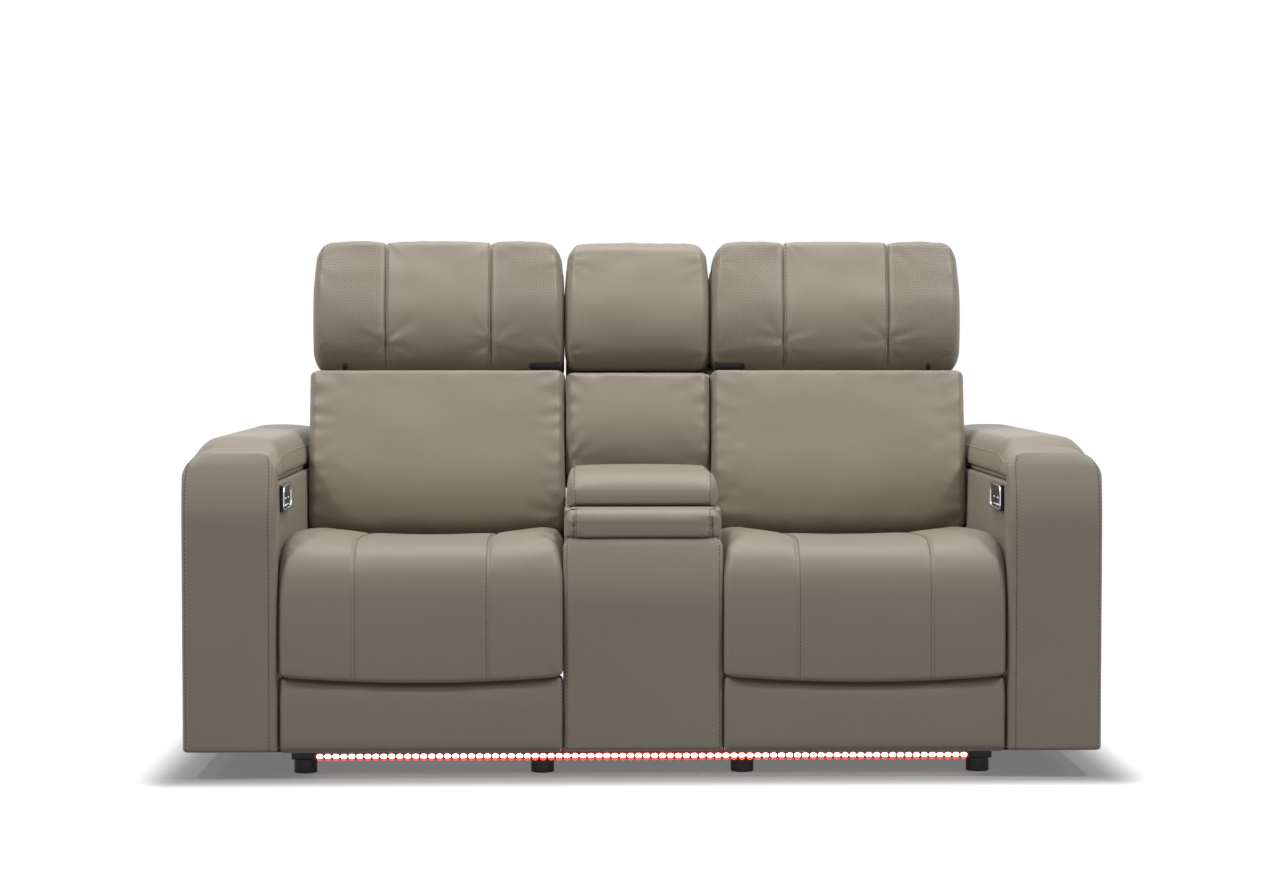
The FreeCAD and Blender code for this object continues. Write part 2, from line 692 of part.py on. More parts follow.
def footrest_hangers():
    """Ears with pins for the footrest hinge, and hangers that carry the shaft of the stays."""
    pieces = []
    for side, plane in (("Inner", hinge_plane), ("Outer", hinge_plane_outer)):
        x = plane(HINGE_EAR)
        eye = "(hinge_radius + eye_margin - 4)"
        arm = box("HingeArm" + side, x, ("hinge_y", "seat_frame_front"),
                  ("seat_rail_top - 20", "seat_rail_top"))
        boss = cylinder("HingeBoss" + side, "x", x[0], x[1], ("hinge_y", "hinge_z"), eye)
        low, high = outer_span(HINGE_EAR, HINGE_BRACKET, plane)
        pin = cylinder("HingePin" + side, "x", low, high, ("hinge_y", "hinge_z"), "hinge_radius")
        pieces.append(fuse("HingeEar" + side, [arm, boss, pin]))
        x = plane(HINGE_HANGER)
        eye = "(shaft_radius + eye_margin - 5)"
        drop = plate("HangerSheet" + side, x, [
            ("seat_frame_front + seat_rail_width", "seat_rail_bottom"),
            ("seat_frame_front", "seat_rail_bottom"),
            ("hinge_y - %s * 0.7" % eye, "shaft_z + %s * 0.7" % eye),
            ("hinge_y + %s * 0.7" % eye, "shaft_z - %s * 0.7" % eye),
        ])
        boss = cylinder("HangerBoss" + side, "x", x[0], x[1], ("hinge_y", "shaft_z"), eye)
        bore = cylinder("HangerBore" + side, "x", x[0] + " - face_gap", x[1] + " + face_gap",
                        ("hinge_y", "shaft_z"), "shaft_radius + running_gap")
        pieces.append(cut("Hanger" + side, fuse("HangerBlank" + side, [drop, boss]), bore))
    return pieces


def sinuous(x, height):
    """One zigzag spring wire along Y: straight runs joined by half turns, as one tube."""
    turn = size("spring_turn")
    half = size("spring_half_span")
    turns = int(size("spring_turns"))
    y = size("seat_frame_rear") - size("seat_rail_width") / 2
    side = 1
    edges = [line(Vector(x, y, height), Vector(x + half, y, height))]
    for n in range(turns):
        start = Vector(x + half * side, y, height)
        y -= 2 * turn
        end = Vector(x + half * side, y, height)
        edges.append(arc(start, end, Vector(turn * side, 0, 0)))
        across = x if n == turns - 1 else x - half * side
        edges.append(line(end, Vector(across, y, height)))
        side = -side
    path = Part.Wire(edges)
    begin = path.Edges[0].Vertexes[0].Point
    ring = Part.Wire([Part.Circle(begin, Vector(1, 0, 0), size("spring_radius")).toShape()])
    return path.makePipeShell([ring], True, False)


def seat_springs():
    count = int(size("spring_count"))
    width = size("seat_outer") - size("seat_inner")
    height = size("seat_rail_top") + size("spring_radius") + 0.1
    wires = [sinuous(size("seat_inner") + width * (n + 1) / (count + 1), height) for n in range(count)]
    return pair("seat_springs", soft("SeatSprings", Part.makeCompound(wires)))


def seat_cushion():
    """Three channels along the seat, the side panels standing above the centre one."""
    low = size("seat_inner") + size("side_bulge") + 1
    high = size("seat_outer") - size("side_bulge") - 1
    seams = (size("seam_inner"), size("seam_outer"))
    rises = [size("bolster_crown"), size("centre_crown"), size("bolster_crown")]

    def section(y, draw):
        def place(across, up):
            return Vector(across, y, up)
        top = size("seat_side_top") - draw
        valleys = [(seam, top + 2) for seam in seams]
        return face_section(place, low + draw * 0.5, high - draw * 0.5,
                            size("seat_cushion_bottom") + draw * 0.3, top, size("side_bulge"),
                            valleys, [rise - draw * 0.3 for rise in rises], 1)

    rear = size("seat_cushion_rear")
    front = size("seat_cushion_front")
    draw = size("end_draw")
    sections = [section(rear, draw), section(rear - 2 * draw, draw * 0.25),
                section((rear + front) / 2, 0), section(front, 0)]
    return pair("seat_cushion", soft("SeatCushion", loft(sections)))


def front_roll():
    """The rolled front edge of the seat, with the channels of the seat across it."""
    rear = size("seat_cushion_front") - size("soft_gap")
    bottom = size("roll_bottom")
    front = size("pad_front")
    top = size("seat_side_top") + 14

    def section(x, draw):
        points = [
            Vector(x, rear, bottom),
            Vector(x, rear, top - draw),
            Vector(x, front + draw, bottom + 12),
            Vector(x, front + draw, bottom),
        ]
        out = Vector(0, -20, 22)
        return Part.Wire([line(points[0], points[1]), arc(points[1], points[2], out),
                          line(points[2], points[3]), line(points[3], points[0])])

    low = size("seat_inner") + 2
    high = size("seat_outer") - 2
    draw = size("end_draw")
    marks = [(low, draw), (low + 14, 2)]
    for seam in (size("seam_inner"), size("seam_outer")):
        marks += [(seam - 20, 0), (seam, draw * 0.5), (seam + 20, 0)]
    marks += [(high - 14, 2), (high, draw)]
    return pair("front_roll", soft("FrontRoll", loft([section(x, d) for x, d in marks])))


def seat_actuator():
    """Tube and motor under the seat, over the rod that stands on the base."""
    centre = ("seat_middle", "actuator_z")
    tube = cylinder("ActuatorTube", "y", "actuator_tube_front", "seat_frame_rear", centre,
                    "actuator_tube_radius")
    bore = cylinder("ActuatorBore", "y", "actuator_tube_front - face_gap", "actuator_bore_end", centre,
                    "actuator_rod_radius + running_gap")
    half = "motor_size / 2"
    hanger = box("ActuatorHanger", ("seat_middle - " + half, "seat_middle + " + half),
                 ("seat_frame_rear - seat_rail_width", "seat_frame_rear"),
                 ("actuator_z - " + half, "seat_rail_bottom"))
    motor = box("Motor", ("seat_middle - " + half, "seat_middle + " + half),
                ("seat_frame_rear - seat_rail_width - motor_size", "seat_frame_rear - seat_rail_width"),
                ("actuator_z - motor_size * 1.4", "actuator_z - " + half + " + 8"))
    solid = fuse("ActuatorBody", [tube, hanger, motor])
    return pair("seat_actuator", cut("SeatActuator", solid, bore))


# Footrest

def footrest_board():
    board = box("FootrestBoard", ("seat_inner + board_inset", "seat_outer - board_inset"),
                ("board_front", "board_rear"), ("footrest_bottom + 6", "hinge_z - 4"))
    return pair("footrest_board", board)


def footrest_brackets():
    """Plates on the back of the board, hung on the hinge, with a slot for the stay's pin."""
    plates = []
    for side, plane in (("Inner", hinge_plane), ("Outer", hinge_plane_outer)):
        x = plane(HINGE_BRACKET)
        wide = (x[0] + " - face_gap", x[1] + " + face_gap")
        blank = box("BracketSheet" + side, x, ("board_rear", "bracket_rear"),
                    ("stay_pin_z - 18", "hinge_z"))
        boss = cylinder("BracketEye" + side, "x", x[0], x[1], ("hinge_y", "hinge_z"),
                        "hinge_radius + eye_margin - 4")
        bore = cylinder("BracketBore" + side, "x", wide[0], wide[1], ("hinge_y", "hinge_z"),
                        "hinge_radius + running_gap")
        slot = box("BracketSlot" + side, wide, ("hinge_y - slot_half", "hinge_y + slot_half"),
                   ("hinge_z - slot_low_drop", "hinge_z - slot_top_drop"))
        holes = fuse("BracketHoles" + side, [bore, slot])
        plates.append(cut("Bracket" + side, fuse("BracketBlank" + side, [blank, boss]), holes))
    return pair("footrest_brackets", group("FootrestBrackets", plates))


def footrest_pad():
    """Upper panel with two channels, a crease, and a plain lower panel."""
    low = size("seat_inner") + size("side_bulge") + 1
    high = size("seat_outer") - size("side_bulge") - 1
    seams = (size("seam_inner"), size("seam_outer"))
    rear = size("pad_rear")
    front = size("pad_front")
    full = 12

    def section(z, draw, valley, rises):
        def place(across, out):
            return Vector(across, out, z)
        corner = front + full + draw
        valleys = [(seam, front + draw + valley) for seam in seams]
        return face_section(place, low + draw * 0.4, high - draw * 0.4, rear, corner,
                            size("side_bulge") - draw * 0.1, valleys, rises, -1)

    channelled = (full, [6, 11, 6])
    plain = (3, [2, 2.5, 2])
    bottom = size("footrest_bottom")
    crease = size("footrest_crease")
    top = size("hinge_z") - 2
    sections = [
        section(bottom, 12, *plain),
        section(bottom + 16, 2, *plain),
        section(crease - 20, 1, *plain),
        section(crease, 11, 6, [3, 4, 3]),
        section(crease + 20, 1, *channelled),
        section(top - size("channel_lead"), 0, *channelled),
        section(top, 2, *channelled),
    ]
    return pair("footrest_pad", soft("FootrestPad", loft(sections)))


def footrest_stays():
    """Two arms on one torque tube, each with a pin in its bracket's slot."""
    pieces = []
    for side, plane in (("Inner", hinge_plane), ("Outer", hinge_plane_outer)):
        x = plane(HINGE_STAY)
        centre = ("hinge_y", "shaft_z")
        end = ("hinge_y", "stay_pin_z")
        pieces.append(box("StayArm" + side, x, ("hinge_y - stay_half_width", "hinge_y + stay_half_width"),
                          ("stay_pin_z", "shaft_z")))
        pieces.append(cylinder("StayHub" + side, "x", x[0], x[1], centre, "shaft_radius + 5"))
        pieces.append(cylinder("StayEnd" + side, "x", x[0], x[1], end, "stay_half_width"))
        low, high = outer_span(HINGE_BRACKET, HINGE_STAY, plane)
        pieces.append(cylinder("StayPin" + side, "x", low, high, end, "stay_pin_radius"))
    first = hinge_plane(HINGE_STAY)[0]
    last = hinge_plane_outer(HINGE_STAY)[1]
    shaft = cylinder("StayShaft", "x", first, last, ("hinge_y", "shaft_z"), "shaft_radius")
    hollow = cylinder("StayShaftHollow", "x", first + " - face_gap", last + " + face_gap",
                      ("hinge_y", "shaft_z"), "shaft_radius - shaft_wall")
    whole = cut("FootrestStays", fuse("StayBlank", pieces + [shaft]), hollow)
    return pair("footrest_stays", whole)


# Back, built upright: y is v (rearward) and z is u (upward)

def back_frame():
    """Board with two steel side plates to the recline pivot and two headrest brackets."""
    side_x = ("seat_inner + shell_wall + 3", "seat_outer - shell_wall - 3")
    pieces = [box("BackBoard", side_x, ("back_board_face", "back_board_rear"),
                  ("back_board_low", "back_high + 6"))]
    for side, plane in (("Inner", hinge_plane), ("Outer", hinge_plane_outer)):
        x = plane(PIVOT_PLATE)
        eye = "(pivot_radius + eye_margin)"
        pin_eye = "(guide_pin_radius + 6)"
        spine = plate("BackSpine" + side, x, [
            ("0 - " + eye, "0"), (eye, "0"),
            ("back_board_rear + side_plate_depth", "back_board_low"),
            ("back_board_rear + side_plate_depth", "back_high - 20"),
            ("back_board_rear", "back_high - 20"),
            ("back_board_rear", "back_board_low - 1"),
            ("back_board_face", "back_board_low - 1"),
        ])
        lobe = plate("GuideLobe" + side, x, [
            ("0 - " + eye, "0"), (eye, "20"), ("back_board_face", "back_board_low - 3"),
            ("guide_pin_v + 2", "guide_pin_u + " + pin_eye),
            ("guide_pin_v - %s * 0.8" % pin_eye, "guide_pin_u - %s * 0.6" % pin_eye),
        ])
        ring = cylinder("PivotRing" + side, "x", x[0], x[1], ("0", "0"), eye)
        pin_ring = cylinder("GuideRing" + side, "x", x[0], x[1], ("guide_pin_v", "guide_pin_u"), pin_eye)
        low, high = beyond(PIVOT_PLATE, PIVOT_POST, plane)
        pin = cylinder("GuidePin" + side, "x", low, high, ("guide_pin_v", "guide_pin_u"),
                       "guide_pin_radius")
        bore = cylinder("PivotBore" + side, "x", x[0] + " - face_gap", x[1] + " + face_gap",
                        ("0", "0"), "pivot_radius + running_gap")
        blank = fuse("SidePlateBlank" + side, [spine, lobe, ring, pin_ring])
        pieces += [cut("SidePlate" + side, blank, bore), pin]
    pieces += headrest_brackets()
    return pair("back_frame", leaned("BackFrame", pieces))


def head_planes():
    """The fixed and the moving headrest plate at each side of the seat."""
    low = "seat_inner + head_line_inset"
    high = "seat_outer - head_line_inset"
    moving = "plate_thick + face_gap"
    return [
        ("Inner", (low, low + " + plate_thick"),
         (low + " + " + moving, low + " + plate_thick + " + moving)),
        ("Outer", (high + " - plate_thick", high),
         (high + " - plate_thick - (%s)" % moving, high + " - (%s)" % moving)),
    ]


def headrest_brackets():
    """Plates over the top of the back that hold the headrest pins, and the gearmotor."""
    pieces = []
    for side, fixed, moving in head_planes():
        eye = "(head_pin_radius + 5)"
        arm = plate("HeadArm" + side, fixed, [
            ("back_board_rear", "back_high - 30"),
            ("back_board_rear + 4", "back_high - 30"),
            ("back_board_rear + 4", "back_high + 14"),
            ("head_pivot_v", "head_pivot_u + %s" % eye),
            ("head_pivot_v", "head_pivot_u - %s" % eye),
            ("back_board_face", "back_high + 8"),
            ("back_board_rear", "back_high + 6"),
        ])
        boss = cylinder("HeadBoss" + side, "x", fixed[0], fixed[1], ("head_pivot_v", "head_pivot_u"), eye)
        pin_x = (fixed[0], moving[1]) if side == "Inner" else (moving[0], fixed[1])
        pin = cylinder("HeadPin" + side, "x", pin_x[0], pin_x[1], ("head_pivot_v", "head_pivot_u"),
                       "head_pin_radius")
        parts = [arm, boss, pin]
        if side == "Inner":
            start = fixed[0] + " - head_motor_length"
            parts.append(cylinder("HeadMotor", "x", start, fixed[0], ("head_pivot_v", "head_pivot_u"),
                                  "head_motor_radius"))
        pieces.append(fuse("HeadBracket" + side, parts))
    return pieces


def slanted(u):
    """Rear of the back shell at a height u, as an expression."""
    slope = "(shell_low_depth - shell_high_depth) / (shell_high - shell_low)"
    return "(shell_low_depth - %s * ((%s) - shell_low))" % (slope, u)


def back_shell():
    """Outer back: rear panel, two sides, top and bottom, meeting face to face."""
    start = "back_board_rear + side_plate_depth + 2"
    front = "back_board_face"
    inner = ("seat_inner + 3", "seat_inner + 3 + shell_wall")
    outer = ("seat_outer - 3 - shell_wall", "seat_outer - 3")
    between = (inner[1], outer[0])
    wall = "shell_wall"
    pieces = []
    for name, x in (("Inner", inner), ("Outer", outer)):
        pieces.append(plate("ShellSide" + name, x, [
            (front, "shell_low"), (slanted("shell_low"), "shell_low"),
            (slanted("shell_high"), "shell_high"), (front, "shell_high"),
        ]))
    pieces.append(plate("ShellRear", between, [
        (slanted("shell_low") + " - " + wall, "shell_low"), (slanted("shell_low"), "shell_low"),
        (slanted("shell_high"), "shell_high"), (slanted("shell_high") + " - " + wall, "shell_high"),
    ]))
    top = "shell_high - " + wall
    pieces.append(box("ShellTop", between, (start, slanted("shell_high") + " - " + wall),
                      (top, "shell_high")))
    bottom = "shell_low + " + wall
    pieces.append(box("ShellBottom", between, (start, slanted(bottom) + " - " + wall),
                      ("shell_low", bottom)))
    return pair("back_shell", leaned("BackShell", pieces))


def back_placement():
    """Where the upright back goes."""
    tilt = FreeCAD.Rotation(Vector(-1, 0, 0), size("back_lean"))
    return FreeCAD.Placement(Vector(0, size("pivot_y"), size("pivot_z")), tilt)


def padded_back(name, low_x, high_x, low_u, high_u):
    """A plain, crowned cushion with full sides and drawn-in ends."""
    def section(u, draw):
        def place(across, out):
            return Vector(across, out, u)
        corner = size("back_front") + 8 + draw
        return face_section(place, low_x + size("side_bulge") + 1 + draw * 0.5,
                            high_x - size("side_bulge") - 1 - draw * 0.5,
                            size("back_cushion_rear") - draw * 0.3, corner, size("side_bulge"),
                            [], [size("back_crown") - draw * 0.2], -1)
    draw = size("end_draw") * 1.5
    span = high_u - low_u
    sections = [section(low_u, draw), section(low_u + draw, draw * 0.15),
                section(low_u + span * 0.5, 0), section(high_u - draw, draw * 0.15),
                section(high_u, draw)]
    return soft(name, loft(sections), back_placement())


def back_cushion():
    cushion = padded_back("BackCushion", size("seat_inner"), size("seat_outer"), size("back_low"),
                          size("back_high"))
    return pair("back_cushion", cushion)


def head_loft(marks, hollow):
    """A head cushion through side-view sections at the marks (x, drawn-in depth)."""
    rear = size("head_board_face" if hollow else "back_board_face") - size("soft_gap")
    low = size("head_low")
    notch = size("notch_front")
    notch_top = size("notch_high") if hollow else low + size("console_head_notch")

    def section(x, draw):
        front = size("head_front") + draw
        top = size("head_high") - draw * 0.6
        radius = size("head_round") - draw * 0.5
        centre_v = front + radius
        centre_u = low + draw * 0.5 + radius
        foot = centre_u - math.sqrt(radius ** 2 - (notch - centre_v) ** 2)
        turn = (math.atan2(foot - centre_u, notch - centre_v) - math.pi) / 2
        under = Vector(x, centre_v + radius * math.cos(turn), centre_u + radius * math.sin(turn))
        edge = size("head_top_round") - draw * 0.3
        points = [
            Vector(x, rear, notch_top), Vector(x, notch, notch_top), Vector(x, notch, foot),
            Vector(x, front, centre_u), Vector(x, front + 4, top - edge),
            Vector(x, front + edge + 4, top), Vector(x, rear, top - 6),
        ]
        return Part.Wire([
            line(points[0], points[1]), line(points[1], points[2]),
            Part.Arc(points[2], under, points[3]).toShape(),
            arc(points[3], points[4], Vector(0, -5, 0)),
            arc(points[4], points[5], Vector(0, -edge * 0.2, edge * 0.2)),
            arc(points[5], points[6], Vector(0, 0, 2)),
            line(points[6], points[0]),
        ])
    return loft([section(x, draw) for x, draw in marks])


def head_cushion():
    """Three panels with seams between them, and a padded rear."""
    low = size("seat_inner") + 2
    high = size("seat_outer") - 2
    draw = size("end_draw")
    reach = size("head_seam_reach")
    marks = [(low, draw * 1.4), (low + 16, 3)]
    for seam in (low + size("head_seam_inset"), high - size("head_seam_inset")):
        marks += [(seam - reach, 0), (seam, draw * 0.5), (seam + reach, 0)]
    marks += [(high - 16, 3), (high, draw * 1.4)]
    front = soft("HeadFront", head_loft(marks, True))
    rear = plate("HeadRear", ("seat_inner + 3", "seat_outer - 3"), [
        ("head_shell_face", "notch_high + 4"), ("head_shell_depth - 20", "head_shell_low"),
        ("head_shell_depth", "head_shell_low + 14"),
        ("head_shell_depth - head_shell_taper", "head_high - 60"),
        ("head_shell_depth - head_shell_taper - 40", "head_high - 16"),
        ("head_shell_face", "head_high - 8"),
    ])
    return pair("head_cushion", leaned("HeadCushion", [front, rear]))


def head_frame():
    """Board in the head part, with an arm down to each headrest pin."""
    board = box("HeadBoard", ("seat_inner + 24", "seat_outer - 24"),
                ("head_board_face", "head_board_rear"), ("notch_high + 4", "head_board_high"))
    pieces = [board]
    for side, fixed, moving in head_planes():
        eye = "(head_pin_radius + 5)"
        arm = plate("HeadLever" + side, moving, [
            ("head_pivot_v", "head_pivot_u - %s" % eye),
            ("head_board_rear", "notch_high - 8"), ("head_board_rear", "notch_high + 4"),
            ("head_board_face", "notch_high + 4"), ("head_board_face", "notch_high - 2"),
            ("head_pivot_v - %s * 0.7" % eye, "head_pivot_u + %s * 0.7" % eye),
        ])
        boss = cylinder("HeadLeverEye" + side, "x", moving[0], moving[1],
                        ("head_pivot_v", "head_pivot_u"), eye)
        bore = cylinder("HeadLeverBore" + side, "x", moving[0] + " - face_gap",
                        moving[1] + " + face_gap", ("head_pivot_v", "head_pivot_u"),
                        "head_pin_radius + running_gap")
        pieces.append(cut("HeadLeverCut" + side, fuse("HeadLeverBlank" + side, [arm, boss]), bore))
    return pair("head_frame", leaned("HeadFrame", pieces))


# Arms

def arm_frame():
    """Boards of the arm, with a floor under the storage."""
    z = ("base_top", "arm_top")
    between = ("arm_bin_inner", "arm_bin_outer")
    run = ("arm_body_front", "arm_board_rear")
    pieces = [
        box("ArmInnerBoard", ("arm_board_inner", "arm_bin_inner"), run, z),
        box("ArmOuterBoard", ("arm_bin_outer", "arm_board_outer"), run, z),
        box("ArmFrontBoard", between, ("arm_body_front", "arm_bin_front"), z),
        box("ArmRearBoard", between, ("arm_bin_rear", "arm_board_rear"), z),
        box("ArmBottomBoard", between, ("arm_bin_front", "arm_bin_rear"),
            ("base_top", "base_top + board_wall")),
        box("ArmStorageFloor", between, ("arm_bin_front", "arm_bin_rear"),
            ("arm_floor_top - 12", "arm_floor_top")),
    ]
    return pair("arm_frame", group("ArmFrame", pieces))


def arm_cover():
    """Upholstered panels on the inner side, the outer side and the rear of the arm."""
    z = ("base_top", "arm_top")
    pieces = [
        box("ArmInnerPad", ("arm_inner", "arm_board_inner"), ("arm_body_front", "arm_rear"), z),
        box("ArmOuterPad", ("arm_board_outer", "half_width"), ("arm_body_front", "arm_rear"), z),
        box("ArmRearPad", ("arm_board_inner", "arm_board_outer"), ("arm_board_rear", "arm_rear"), z),
    ]
    return pair("arm_cover", group("ArmCover", pieces))


def arm_front():
    """Front panel with two rounded top corners of different size."""
    body = doc.addObject("PartDesign::Body", "ArmFrontBody")
    sketch = body.newObject("Sketcher::SketchObject", "ArmFrontOutline")
    sketch.AttachmentSupport = [(origin_plane(body, "XZ_Plane"), "")]
    sketch.MapMode = "FlatFace"
    width = size("arm_width")
    height = size("front_panel_top") - size("base_top")
    corners = [Vector(0, 0, 0), Vector(width, 0, 0), Vector(width, height, 0), Vector(0, height, 0)]
    for n in range(4):
        sketch.addGeometry(Part.LineSegment(corners[n], corners[(n + 1) % 4]), False)
    for n in range(4):
        sketch.addConstraint(Sketcher.Constraint("Coincident", n, 2, (n + 1) % 4, 1))
    for n in (0, 2):
        sketch.addConstraint(Sketcher.Constraint("Horizontal", n))
    for n in (1, 3):
        sketch.addConstraint(Sketcher.Constraint("Vertical", n))
    sketch.addConstraint(Sketcher.Constraint("Coincident", 0, 1, -1, 1))
    row = sketch.addConstraint(Sketcher.Constraint("DistanceX", 0, 1, 0, 2, width))
    sketch.setExpression("Constraints[%d]" % row, bound("arm_width"))
    row = sketch.addConstraint(Sketcher.Constraint("DistanceY", 1, 1, 1, 2, height))
    sketch.setExpression("Constraints[%d]" % row, bound("front_panel_top - base_top"))
    pad = body.newObject("PartDesign::Pad", "ArmFrontPad")
    pad.Profile = sketch
    pad.setExpression("Length", bound("front_panel_thick"))
    doc.recompute()

    def top_edge(x):
        """The edge along Y at the top corner at x, by where it lies."""
        for n, edge in enumerate(pad.Shape.Edges, start=1):
            middle = edge.CenterOfMass
            along = abs(edge.tangentAt(edge.FirstParameter).y)
            if along > 0.9 and abs(middle.x - x) < 0.01 and abs(middle.z - height) < 0.01:
                return "Edge%d" % n
        raise RuntimeError("no top corner at %g" % x)

    outer = body.newObject("PartDesign::Fillet", "OuterCorner")
    outer.Base = (pad, [top_edge(width)])
    outer.setExpression("Radius", bound("outer_corner"))
    doc.recompute()
    inner_name = None
    for n, edge in enumerate(outer.Shape.Edges, start=1):
        middle = edge.CenterOfMass
        along = abs(edge.tangentAt(edge.FirstParameter).y)
        if along > 0.9 and abs(middle.x) < 0.01 and abs(middle.z - height) < 0.01:
            inner_name = "Edge%d" % n
    inner = body.newObject("PartDesign::Fillet", "InnerCorner")
    inner.Base = (outer, [inner_name])
    inner.setExpression("Radius", bound("inner_corner"))
    body.setExpression("Placement.Base.x", bound("arm_inner"))
    body.setExpression("Placement.Base.y", bound("arm_body_front"))
    body.setExpression("Placement.Base.z", bound("base_top"))
    return pair("arm_front", body)


def lid_pad(place, low, high, bottom, edge, crown, along):
    """A lid's padding: flat under, full sides and one crowned face, drawn in at its ends."""
    start, end = along

    def section(where, draw):
        def point(across, up):
            return place(across, up, where)
        return face_section(point, low + 1 + draw * 0.4, high - 1 - draw * 0.4, bottom, edge - draw,
                            1, [], [crown - draw * 0.5], 1)
    return loft([section(start, 14), section(start + 14, 2), section((start + end) / 2, 0),
                 section(end - 14, 2), section(end, 14)])


def arm_hinge_places():
    """Spans of the two knuckles of an arm lid, along Y."""
    first = "arm_lid_front + knuckle_inset"
    last = "arm_rear - knuckle_inset"
    return [("Front", (first, first + " + knuckle_length")), ("Rear", (last + " - knuckle_length", last))]


ARM_PIN = ("half_width - lid_pin_inset", "arm_top + knuckle_radius + 1")
CONSOLE_PIN = ("console_lid_rear + knuckle_radius + 2", "console_top + knuckle_radius + 1")


def arm_lid():
    """Board with knuckles over the hinge pins, and a crowned pad on it."""
    board_top = "arm_lid_bottom + lid_board"
    board = box("ArmLidBoard", ("arm_lid_inner + 6", "arm_lid_outer - 6"),
                ("arm_lid_front + 6", "arm_rear - 6"), ("arm_lid_bottom", board_top))
    x, z = ARM_PIN
    parts = [board]
    bores = []
    for end, (low, high) in arm_hinge_places():
        parts.append(cylinder("ArmKnuckle" + end, "y", low, high, (x, z), "knuckle_radius"))
        bores.append(cylinder("ArmKnuckleBore" + end, "y", low + " - face_gap", high + " + face_gap",
                              (x, z), "lid_pin_radius + running_gap"))
        for side, (a, b) in (("A", (low + " - 14", low)), ("B", (high, high + " + 14"))):
            bores.append(box("ArmLeafRoom" + end + side, (x + " - leaf_reach - 6", x + " + 16"), (a, b),
                             ("arm_lid_bottom - 4", board_top + " + face_gap")))
    hinged = cut("ArmLidHinged", fuse("ArmLidBlank", parts), fuse("ArmLidBores", bores))

    def place(across, up, where):
        return Vector(across, where, up)
    bottom = size("arm_lid_bottom") + size("lid_board") + size("soft_gap")
    pad = lid_pad(place, size("arm_lid_inner"), size("arm_lid_outer"), bottom, size("arm_lid_edge"),
                  size("arm_lid_crown"), (size("arm_lid_front"), size("arm_rear")))
    return pair("arm_lid", group("ArmLid", [hinged, soft("ArmLidPad", pad)]))


def lid_hinges():
    """Leaf and pin of each lid hinge, fixed to the arm or the console."""
    pieces = []
    x, z = ARM_PIN
    for end, (low, high) in arm_hinge_places():
        pin = cylinder("ArmPin" + end, "y", low + " - 12", high + " + 12", (x, z), "lid_pin_radius")
        parts = [pin]
        for side, (a, b) in (("A", (low + " - 12", low + " - 2")), ("B", (high + " + 2", high + " + 12"))):
            parts.append(box("ArmLeaf" + end + side,
                             (x + " - leaf_reach", x + " + 5"), (a, b), ("arm_top", z)))
        piece = fuse("ArmHinge" + end, parts)
        pieces += [piece, twin_of(piece)]
    y, z = CONSOLE_PIN
    span = ("console_lid_half - knuckle_inset / 2", "console_lid_half - knuckle_inset / 2 - knuckle_length")
    low, high = span[1], span[0]
    pin = cylinder("ConsolePin", "x", low + " - 12", high + " + 12", (y, z), "lid_pin_radius")
    parts = [pin]
    for side, (a, b) in (("A", (low + " - 12", low + " - 2")), ("B", (high + " + 2", high + " + 12"))):
        parts.append(box("ConsoleLeaf" + side, (a, b), (y + " - 5", y + " + 5"), ("console_top", z)))
    piece = fuse("ConsoleHinge", parts)
    pieces += [piece, twin_of(piece)]
    keep("lid_hinges", group("LidHinges", pieces))


# Control panels

def key_places():
    """Middle of each key along Y: recline rocker, headrest rocker, light button."""
    first = "panel_front + key_spacing + recline_key_length / 2"
    second = first + " + recline_key_length / 2 + key_spacing + head_key_length / 2"
    third = second + " + head_key_length / 2 + key_spacing + light_key_radius"
    return first, second, third


def control_panel():
    """Plate on the inner face of the arm with a pocket for each key."""
    front = "arm_inner - panel_thick"
    blank = box("PanelBlank", (front, "arm_inner"), ("panel_front", "panel_rear"),
                ("panel_low", "panel_high"))
    first, second, third = key_places()
    middle = "(panel_low + panel_high) / 2"
    x = (front + " - face_gap", front + " + pocket_depth")
    half = "(key_height / 2 + key_gap / 2)"
    pockets = []
    for name, centre, length in (("Recline", first, "recline_key_length"),
                                 ("Head", second, "head_key_length")):
        reach = "(%s / 2 + key_gap)" % length
        pockets.append(box(name + "Pocket", x, ("%s - %s" % (centre, reach), "%s + %s" % (centre, reach)),
                           ("%s - %s" % (middle, half), "%s + %s" % (middle, half))))
    pockets.append(cylinder("LightPocket", "x", x[0], x[1], (third, middle),
                            "light_key_radius + key_gap / 2"))
    return pair("control_panel", cut("ControlPanel", blank, fuse("Pockets", pockets)))


def keys():
    front = "arm_inner - panel_thick"
    x = (front + " - key_proud", front + " + key_depth")
    middle = "(panel_low + panel_high) / 2"
    z = (middle + " - key_height / 2", middle + " + key_height / 2")
    first, second, third = key_places()
    for node, centre, length in (("recline_switch", first, "recline_key_length"),
                                 ("head_switch", second, "head_key_length")):
        reach = "%s / 2" % length
        pair(node, box("Key_" + node, x, ("%s - %s" % (centre, reach), "%s + %s" % (centre, reach)), z))
    pair("light_switch", cylinder("LightKey", "x", x[0], x[1], (third, middle), "light_key_radius"))


# Console

